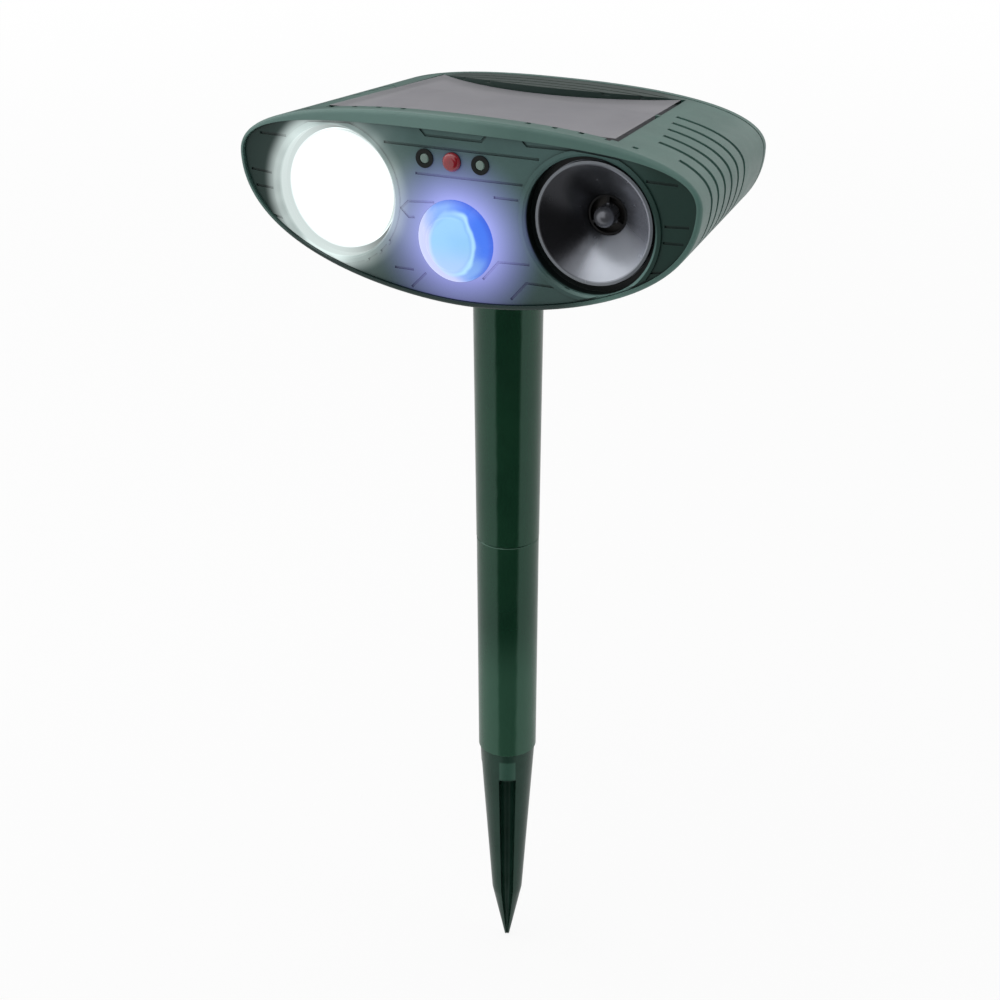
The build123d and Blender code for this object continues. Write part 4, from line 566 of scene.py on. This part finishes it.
# ---------------------------------------------------------------- making pieces
ROUND_STEPS = 128
CORNER_STEPS = 2
SAME_SPOT = 1e-6
ON_AXIS = 1e-7
NEARLY_HALF = 0.45
SLOT_SHARE = 1.15       # a screw's slot to its head's radius
RING_HALF_WIDTH = 0.0006


def piece(name, mesh, web, body, replaced=(), smooth=35.0):
    """Puts a mesh in the scene as a piece with its finish and body."""
    made = bpy.data.objects.new(name, mesh)
    bpy.context.scene.collection.objects.link(made)
    mesh.materials.clear()
    mesh.materials.append(web.material)
    mesh.polygons.foreach_set("use_smooth", [True] * len(mesh.polygons))
    mesh.set_sharp_from_angle(angle=math.radians(smooth))
    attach(made, body)
    if replaced:
        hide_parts(*replaced)
    return made


def skin(node):
    """A smooth-shaded copy of a CAD node's mesh, with its doubles merged."""
    copy = bmesh.new()
    copy.from_mesh(NODES[node].data)
    bmesh.ops.remove_doubles(copy, verts=copy.verts, dist=SAME_SPOT)
    bmesh.ops.dissolve_degenerate(copy, edges=copy.edges, dist=SAME_SPOT)
    mesh = bpy.data.meshes.new(node + "_skin")
    copy.verts.index_update()
    mesh.from_pydata([v.co for v in copy.verts], [], [[v.index for v in face.verts] for face in copy.faces])
    copy.free()
    slot = SLOT_OF_NODE[node]
    finish = FINISH_OF_NODE.get(node, FINISH_OF_SLOT[slot])
    made = piece(node + "_skin", mesh, finish, BODY_OF_NODE[node], (node,), 32.0)
    made.modifiers.new("even normals", "WEIGHTED_NORMAL").keep_sharp = True


def skins(*nodes):
    for node in nodes:
        skin(node)


def turned(name, profile, centre, web, body, replaced=()):
    """Turns a closed profile of (radius, depth) points about an axis along Y through centre."""
    shape = bmesh.new()
    rows = []
    for radius, depth in profile:
        row = []
        for index in range(1 if radius < ON_AXIS else ROUND_STEPS):
            angle = 2 * math.pi * index / ROUND_STEPS
            spot = Vector((radius * math.cos(angle), depth, radius * math.sin(angle)))
            row.append(shape.verts.new(spot + Vector(centre)))
        rows.append(row)
    for one, two in zip(rows, rows[1:] + rows[:1]):
        if len(one) == 1 and len(two) == 1:
            continue
        for index in range(ROUND_STEPS):
            follow = (index + 1) % ROUND_STEPS
            corners = [one[index % len(one)], one[follow % len(one)], two[follow % len(two)],
                       two[index % len(two)]]
            shape.faces.new(list(dict.fromkeys(corners)))
    bmesh.ops.recalc_face_normals(shape, faces=shape.faces)
    mesh = bpy.data.meshes.new(name)
    shape.to_mesh(mesh)
    shape.free()
    piece(name, mesh, web, body, replaced)


def rounded(points, radius):
    """Rounds the corners of a closed profile."""
    result = []
    for index, point in enumerate(points):
        here = Vector(point)
        before = Vector(points[index - 1]) - here
        after = Vector(points[(index + 1) % len(points)]) - here
        reach = min(radius, before.length * NEARLY_HALF, after.length * NEARLY_HALF)
        start, end = here + before.normalized() * reach, here + after.normalized() * reach
        for step in range(CORNER_STEPS + 1):
            t = step / CORNER_STEPS
            result.append(tuple(start * (1 - t) ** 2 + here * 2 * t * (1 - t) + end * t ** 2))
    return result


# ---------------------------------------------------------------- repeated parts, by geometry nodes
def rule(name, inputs):
    """A geometry tree with named inputs. Returns its web and its inputs' outputs by name."""
    tree = bpy.data.node_groups.new(name, "GeometryNodeTree")
    tree.interface.new_socket("Geometry", in_out="INPUT", socket_type="NodeSocketGeometry")
    for label, kind in inputs.items():
        tree.interface.new_socket(label, in_out="INPUT", socket_type="NodeSocket" + kind)
    tree.interface.new_socket("Geometry", in_out="OUTPUT", socket_type="NodeSocketGeometry")
    web = Web(tree)
    entry = web.put("NodeGroupInput")
    return web, {socket.name: socket for socket in entry.outputs if socket.name}


def close_rule(web, geometry, finish):
    """Ends a tree in Realize Instances and Set Material."""
    real = web.put("GeometryNodeRealizeInstances", {"Geometry": geometry})
    dressed = web.put("GeometryNodeSetMaterial", {"Geometry": real.outputs[0], "Material": finish.material})
    web.put("NodeGroupOutput", {0: dressed.outputs[0]})
    return web


def shape_of(web, kind, inputs):
    """A node's first output, for the nodes that make or change a shape."""
    return web.put("GeometryNode" + kind, inputs).outputs[0]


def grown(name, web, values, finish, body, points=((0, 0, 0),), replaced=(), smooth=35.0):
    """Runs a tree on a few points and keeps the result as a plain piece."""
    seed = bpy.data.meshes.new(name)
    seed.from_pydata([tuple(p) for p in points], [], [])
    holder = bpy.data.objects.new(name + "_seed", seed)
    bpy.context.scene.collection.objects.link(holder)
    modifier = holder.modifiers.new("rule", "NODES")
    modifier.node_group = web.tree
    for item in web.tree.interface.items_tree:
        if item.in_out == "INPUT" and item.name in values:
            modifier[item.identifier] = values[item.name]
    depsgraph = bpy.context.evaluated_depsgraph_get()
    mesh = bpy.data.meshes.new_from_object(holder.evaluated_get(depsgraph))
    holder.modifiers.remove(modifier)
    bpy.data.objects.remove(holder)
    piece(name, mesh, finish, body, replaced, smooth)


def screw_tree():
    """Cross-recessed screws, each along +Y with its head's seat at a point."""
    web, given = rule("cross-recessed screw", {
        "Head Radius": "Float", "Head Height": "Float", "Shank Radius": "Float", "Shank Length": "Float",
        "Slot Width": "Float", "Slot Depth": "Float"})
    ball = shape_of(web, "MeshUVSphere", {"Segments": 40, "Rings": 24, "Radius": 1.0})
    dome = shape_of(web, "Transform", {"Geometry": ball, "Scale": web.together(
        given["Head Radius"], given["Head Radius"], given["Head Height"])})
    cutting = web.put("GeometryNodeMeshBoolean", {"Mesh 1": dome}, operation="DIFFERENCE", solver="EXACT")
    slot_length = web.times(given["Head Radius"], SLOT_SHARE)
    head_top = web.together(z=given["Head Height"])
    for x, y in ((slot_length, given["Slot Width"]), (given["Slot Width"], slot_length)):
        bar = shape_of(web, "MeshCube", {"Size": web.together(x, y, given["Slot Depth"])})
        web.give(cutting, "Mesh 2", shape_of(web, "Transform", {"Geometry": bar, "Translation": head_top}))
    block = 20 * MM     # what takes off the ball's lower half
    below = shape_of(web, "MeshCube", {"Size": (block, block, block)})
    lowered = {"Geometry": below, "Translation": (0, 0, -block / 2)}
    web.give(cutting, "Mesh 2", shape_of(web, "Transform", lowered))
    rod = shape_of(web, "MeshCylinder", {"Vertices": 24, "Radius": given["Shank Radius"],
                                         "Depth": given["Shank Length"]})
    shank = shape_of(web, "Transform", {"Geometry": rod, "Translation": web.together(
        z=web.times(given["Shank Length"], -0.5))})
    whole = web.put("GeometryNodeJoinGeometry", {0: cutting.outputs[0]})
    web.give(whole, 0, shank)
    along_y = (math.radians(-90), 0.5, 0)
    placed = shape_of(web, "InstanceOnPoints", {"Points": given["Geometry"], "Instance": whole.outputs[0],
                                                "Rotation": along_y})
    return close_rule(web, placed, steel_finish)


def tick_tree():
    """Ticks along an arc that faces +Y."""
    web, given = rule("ticks on an arc", {"Count": "Int", "Radius": "Float", "Sweep": "Float",
                                          "Tick Size": "Vector", "Centre": "Vector"})
    spots = shape_of(web, "Points", {"Count": given["Count"]})
    order = web.put("GeometryNodeInputIndex").outputs[0]
    share = web.math("DIVIDE", order, web.math("SUBTRACT", given["Count"], 1.0))
    turn = web.times(given["Sweep"], web.math("SUBTRACT", share, 0.5))
    spread = web.together(x=web.times(web.math("SINE", turn), given["Radius"]),
                          z=web.times(web.math("COSINE", turn), given["Radius"]))
    fanned = shape_of(web, "SetPosition", {"Geometry": spots, "Position": spread})
    bar = shape_of(web, "MeshCube", {"Size": given["Tick Size"]})
    fan = shape_of(web, "InstanceOnPoints", {"Points": fanned, "Instance": bar,
                                             "Rotation": web.together(y=turn)})
    moved = shape_of(web, "Transform", {"Geometry": fan, "Translation": given["Centre"]})
    return close_rule(web, moved, mark_finish)


def row_tree():
    """A row of bars, for the lines on the solar cells and the grip on the flap."""
    web, given = rule("row of bars", {"Count": "Int", "Start": "Vector", "Step": "Vector", "Bar Size": "Vector",
                                      "Lean": "Vector"})
    row = web.put("GeometryNodeMeshLine", {"Count": given["Count"], "Start Location": given["Start"],
                                           "Offset": given["Step"]}, mode="OFFSET")
    bar = shape_of(web, "MeshCube", {"Size": given["Bar Size"]})
    bars = shape_of(web, "InstanceOnPoints", {"Points": row.outputs[0], "Instance": bar,
                                              "Rotation": given["Lean"]})
    return close_rule(web, bars, silver_finish)


def dome_tree():
    """The motion sensor's dome: a cap with a ring groove and rows of facets."""
    web, given = rule("faceted lens dome", {
        "Radius": "Float", "Height": "Float", "Facets": "Int", "Facet Depth": "Float", "Ring Radius": "Float",
        "Ring Depth": "Float", "Centre": "Vector"})
    sheet = shape_of(web, "MeshGrid", {"Size X": 1.0, "Size Y": 1.0, "Vertices X": 241, "Vertices Y": 61})
    along, across, _ = web.apart(web.put("GeometryNodeInputPosition").outputs[0])
    angle = web.times(web.math("ADD", along, 0.5), 2 * math.pi)
    out = web.times(web.math("ADD", across, 0.5), given["Radius"])
    squares = web.math("ADD", web.times(given["Radius"], given["Radius"]),
                       web.times(given["Height"], given["Height"]))
    ball = web.math("DIVIDE", squares, web.times(given["Height"], 2.0))     # the radius of the cap's sphere
    level = web.math("SQRT", web.math("SUBTRACT", web.times(ball, ball), web.times(out, out)))
    rise = web.math("ADD", web.math("SUBTRACT", level, ball), given["Height"])
    wave = web.math("ABSOLUTE", web.math("SINE", web.times(angle, web.times(given["Facets"], 0.5))))
    facet = web.times(web.fade(out, given["Ring Radius"], given["Radius"], 0.0, 1.0),
                      web.math("SUBTRACT", 1.0, web.math("POWER", wave, 0.5)))
    from_ring = web.math("ABSOLUTE", web.math("SUBTRACT", out, given["Ring Radius"]))
    groove = web.math("SUBTRACT", 1.0, web.fade(from_ring, 0.0, RING_HALF_WIDTH))
    dip = web.math("ADD", web.times(facet, given["Facet Depth"]), web.times(groove, given["Ring Depth"]))
    forward = web.times(web.math("SUBTRACT", rise, dip), -1.0)
    spot = web.together(web.times(out, web.math("COSINE", angle)), forward,
                        web.times(out, web.math("SINE", angle)))
    bent = shape_of(web, "SetPosition", {"Geometry": sheet, "Position": spot})
    joined = shape_of(web, "MergeByDistance", {"Geometry": bent, "Distance": SAME_SPOT})
    moved = shape_of(web, "Transform", {"Geometry": joined, "Translation": given["Centre"]})
    return close_rule(web, moved, dome_finish)


# ---------------------------------------------------------------- head
skins("housing_shell", "front_panel", "rear_gasket", "rear_cover", "solar_window", "solar_cells",
      "solar_backing")

# The solar cells carry six groups of four fine silver lines, along their fall.
LINE_GROUPS = 6
LINE_PITCH = 0.00373
GROUP_PITCH = 0.0146
FIRST_LINE_X = -0.0421
LINE_LIFT = 0.00022
CELLS_THICK = 0.0005
row_rule = row_tree()
low, high = (Vector(corner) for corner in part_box("solar_cells"))
fall = math.atan2(high.z - low.z - CELLS_THICK, high.y - low.y)
for group in range(LINE_GROUPS):
    start = (FIRST_LINE_X + group * GROUP_PITCH, (low.y + high.y) / 2, (low.z + high.z) / 2 + LINE_LIFT)
    grown(f"cell_lines_{group + 1}", row_rule, {
        "Count": 4, "Start": start, "Step": (LINE_PITCH, 0, 0), "Lean": (-fall, 0, 0),
        "Bar Size": (0.0003, high.y - low.y - 0.002, 0.00008)}, silver_finish, "head")

# The lamp's lens is a little bulged.
BULGE = 0.0009
BULGE_STEPS = 14
skins("lamp_reflector")
low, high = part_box("lamp_lens")
radius = high[0] - LAMP.x
shares = [index / BULGE_STEPS for index in range(BULGE_STEPS + 1)]
face = [(radius * share, low[1] - BULGE * (1 - share ** 2)) for share in shares]
turned("lamp_lens_bulge", face + [(radius, high[1]), (0, high[1])], (LAMP.x, 0, LAMP.z), lamp_finish, "head",
       ("lamp_lens",))

skins("horn_flare", "phase_plug")

# The motion sensor's dome stands on a flanged foot.
DOME_RADIUS = 0.0132
DOME_WALL = 0.001
FLANGE_RADIUS = 0.015
FLANGE_THICK = 0.0018
DOME_FOOT = FACE + 0.0005
pir_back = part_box("pir_lens")[1][1]
grown("sensor_dome", dome_tree(), {
    "Radius": DOME_RADIUS, "Height": 0.006, "Facets": 12, "Facet Depth": 0.00022, "Ring Radius": 0.0088,
    "Ring Depth": 0.00025, "Centre": (PIR.x, FACE + 0.0006, PIR.z)}, dome_finish, "head",
    replaced=("pir_lens",), smooth=50.0)
flange_front = pir_back - FLANGE_THICK
foot = [(DOME_RADIUS - DOME_WALL, DOME_FOOT), (DOME_RADIUS, DOME_FOOT), (DOME_RADIUS, flange_front),
        (FLANGE_RADIUS, flange_front), (FLANGE_RADIUS, pir_back), (DOME_RADIUS - DOME_WALL, pir_back)]
turned("sensor_dome_foot", rounded(foot, 0.0001), (PIR.x, 0, PIR.z), dome_finish, "head")

skins("sensor_bezels", "charge_led", "light_sensor", "status_led")

# Back: screws, knobs with their dial ticks, button, flap and the grip on it.
REAR_SCREWS = [(65.0, -8.0), (-65.0, -8.0), (28.0, -31.4), (-28.0, -31.4)]     # mm from the middle of the tips
SCREW_RISE = 0.0018
TICK_LIFT = 0.00004
grown("rear_screw_set", screw_tree(), {
    "Head Radius": 0.0026, "Head Height": 0.0017, "Shank Radius": 0.0014, "Shank Length": 0.0109,
    "Slot Width": 0.0007, "Slot Depth": 0.0016}, steel_finish, "head",
    points=[(x * MM, BACK - SCREW_RISE, TIP_Z + up * MM) for x, up in REAR_SCREWS], replaced=("rear_screws",))
tick_rule = tick_tree()
for name in ("frequency", "sensitivity"):
    skins(name + "_knob", name + "_shaft")
    hub = middle(name + "_knob")
    grown(name + "_dial_ticks", tick_rule, {
        "Count": 11, "Radius": 0.0112, "Sweep": math.radians(270), "Tick Size": (0.0004, 0.00012, 0.0016),
        "Centre": (hub.x, BACK - TICK_LIFT, hub.z)}, mark_finish, "head")
skins("power_button", "port_cover", "port_cover_pin")
flap_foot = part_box("port_cover")[0][2]
grown("port_cover_grip", row_rule, {
    "Count": 3, "Start": (0, BACK + 0.0020, flap_foot + 0.0014), "Step": (0, 0, 0.0013),
    "Bar Size": (0.0080, 0.0006, 0.0006), "Lean": (math.radians(45), 0, 0)}, flap_finish, "port_cover")

# ---------------------------------------------------------------- stake
skins("swivel_bush", "upper_pole", "lower_pole", "ground_spike")

# ---------------------------------------------------------------- what stays as the CAD made it
for node, made in NODES.items():
    for holder in made.material_slots:
        holder.link = "OBJECT"
        holder.material = FINISH_OF_SLOT[SLOT_OF_NODE[node]].material

# ---------------------------------------------------------------- studio
FLOOR_REACH = 40.0
FLOOR_DROP = 0.0005
FLOOR_GREY = (0.9, 0.9, 0.9, 1)
WHITE = (1, 1, 1, 1)
ground = CAD_BOX[0][2] - FLOOR_DROP
corners = [(x * FLOOR_REACH, y * FLOOR_REACH, ground) for x, y in ((-1, -1), (1, -1), (1, 1), (-1, 1))]
floor_mesh = bpy.data.meshes.new("floor")
floor_mesh.from_pydata(corners, [], [(0, 1, 2, 3)])
floor = bpy.data.objects.new("floor", floor_mesh)
bpy.context.scene.collection.objects.link(floor)
floor.visible_glossy = False
pale = bpy.data.materials.new("pale floor")
pale.use_nodes = True
floor_mesh.materials.append(pale)
web = Web(pale.node_tree)
matt = web.put("ShaderNodeBsdfDiffuse", {"Color": FLOOR_GREY})
white = web.put("ShaderNodeEmission", {"Color": WHITE, "Strength": 1.0})
rays = web.put("ShaderNodeLightPath").outputs
away = web.length(web.put("ShaderNodeTexCoord").outputs["Object"])
seen = web.times(web.math("MAXIMUM", rays["Is Camera Ray"], rays["Is Transmission Ray"]),
                 web.fade(away, 0.5, 2.5, 0.85, 1.0))
mixed = web.put("ShaderNodeMixShader", {0: seen, 1: matt.outputs[0], 2: white.outputs[0]})
web.put("ShaderNodeOutputMaterial", {0: mixed.outputs[0]})

# The world is a pale room with three dark cards in it, which the glossy pole and spike reflect.
FRONT_CARD_WAY = (0.4423, -0.8969, 0.0)
SIDE_CARD_WAY = (0.763, -0.530, 0.371)
FRONT_CARD_EDGE = (0.63, 0.73)
SIDE_CARD_EDGE = (0.80, 0.92)
CARD_LIGHT = 0.03
BACK_CARD_LIGHT = 0.12
world = bpy.data.worlds.new("studio")
bpy.context.scene.world = world
world.use_nodes = True
web = Web(world.node_tree)
way = web.put("ShaderNodeTexCoord").outputs["Generated"]
beside, behind, up = web.apart(way)
front_card = web.times(web.fade(web.vector("DOT_PRODUCT", way, FRONT_CARD_WAY, out=1), *FRONT_CARD_EDGE),
                       web.fade(up, 0.20, 0.0))
side_card = web.fade(web.vector("DOT_PRODUCT", way, SIDE_CARD_WAY, out=1), *SIDE_CARD_EDGE)
cards = web.math("MAXIMUM", front_card, side_card)
back_card = web.times(web.fade(behind, 0.25, 0.6), web.fade(up, 0.36, 0.2), web.fade(up, -0.25, -0.1),
                      web.fade(beside, 0.0, -0.25))
room = web.times(web.fade(up, -0.6, 0.5, 0.64, 0.98), web.fade(cards, 0.0, 1.0, 1.0, CARD_LIGHT, "LINEAR"),
                 web.fade(back_card, 0.0, 1.0, 1.0, BACK_CARD_LIGHT, "LINEAR"))
level = web.math("MAXIMUM", room, web.put("ShaderNodeLightPath").outputs["Is Camera Ray"])
back = web.put("ShaderNodeBackground", {"Color": WHITE, "Strength": level})
web.put("ShaderNodeOutputWorld", {0: back.outputs[0]})

# One long soft light over the lamp's side, turned so that the horn shows its streak.
LIGHT_WAY = Vector((-0.589, -0.258, 0.766))     # as the horn sees it
LIGHT_ALONG = Vector((-1.0, 0.468, -0.609))
LIGHT_AWAY = 1.2
LIGHT_SIZE = (1.75, 0.5)
LIGHT_POWER = 2.4
light = bpy.data.objects.new("overhead", bpy.data.lights.new("overhead", "AREA"))
bpy.context.scene.collection.objects.link(light)
light.data.shape = "RECTANGLE"
light.data.size, light.data.size_y = LIGHT_SIZE
light.data.energy = LIGHT_POWER
facing = LIGHT_WAY.normalized()
width = (LIGHT_ALONG - facing * facing.dot(LIGHT_ALONG)).normalized()
turn = Matrix((width, facing.cross(width), facing)).transposed()
light.matrix_world = Matrix.Translation(HORN + facing * LIGHT_AWAY) @ turn.to_4x4()
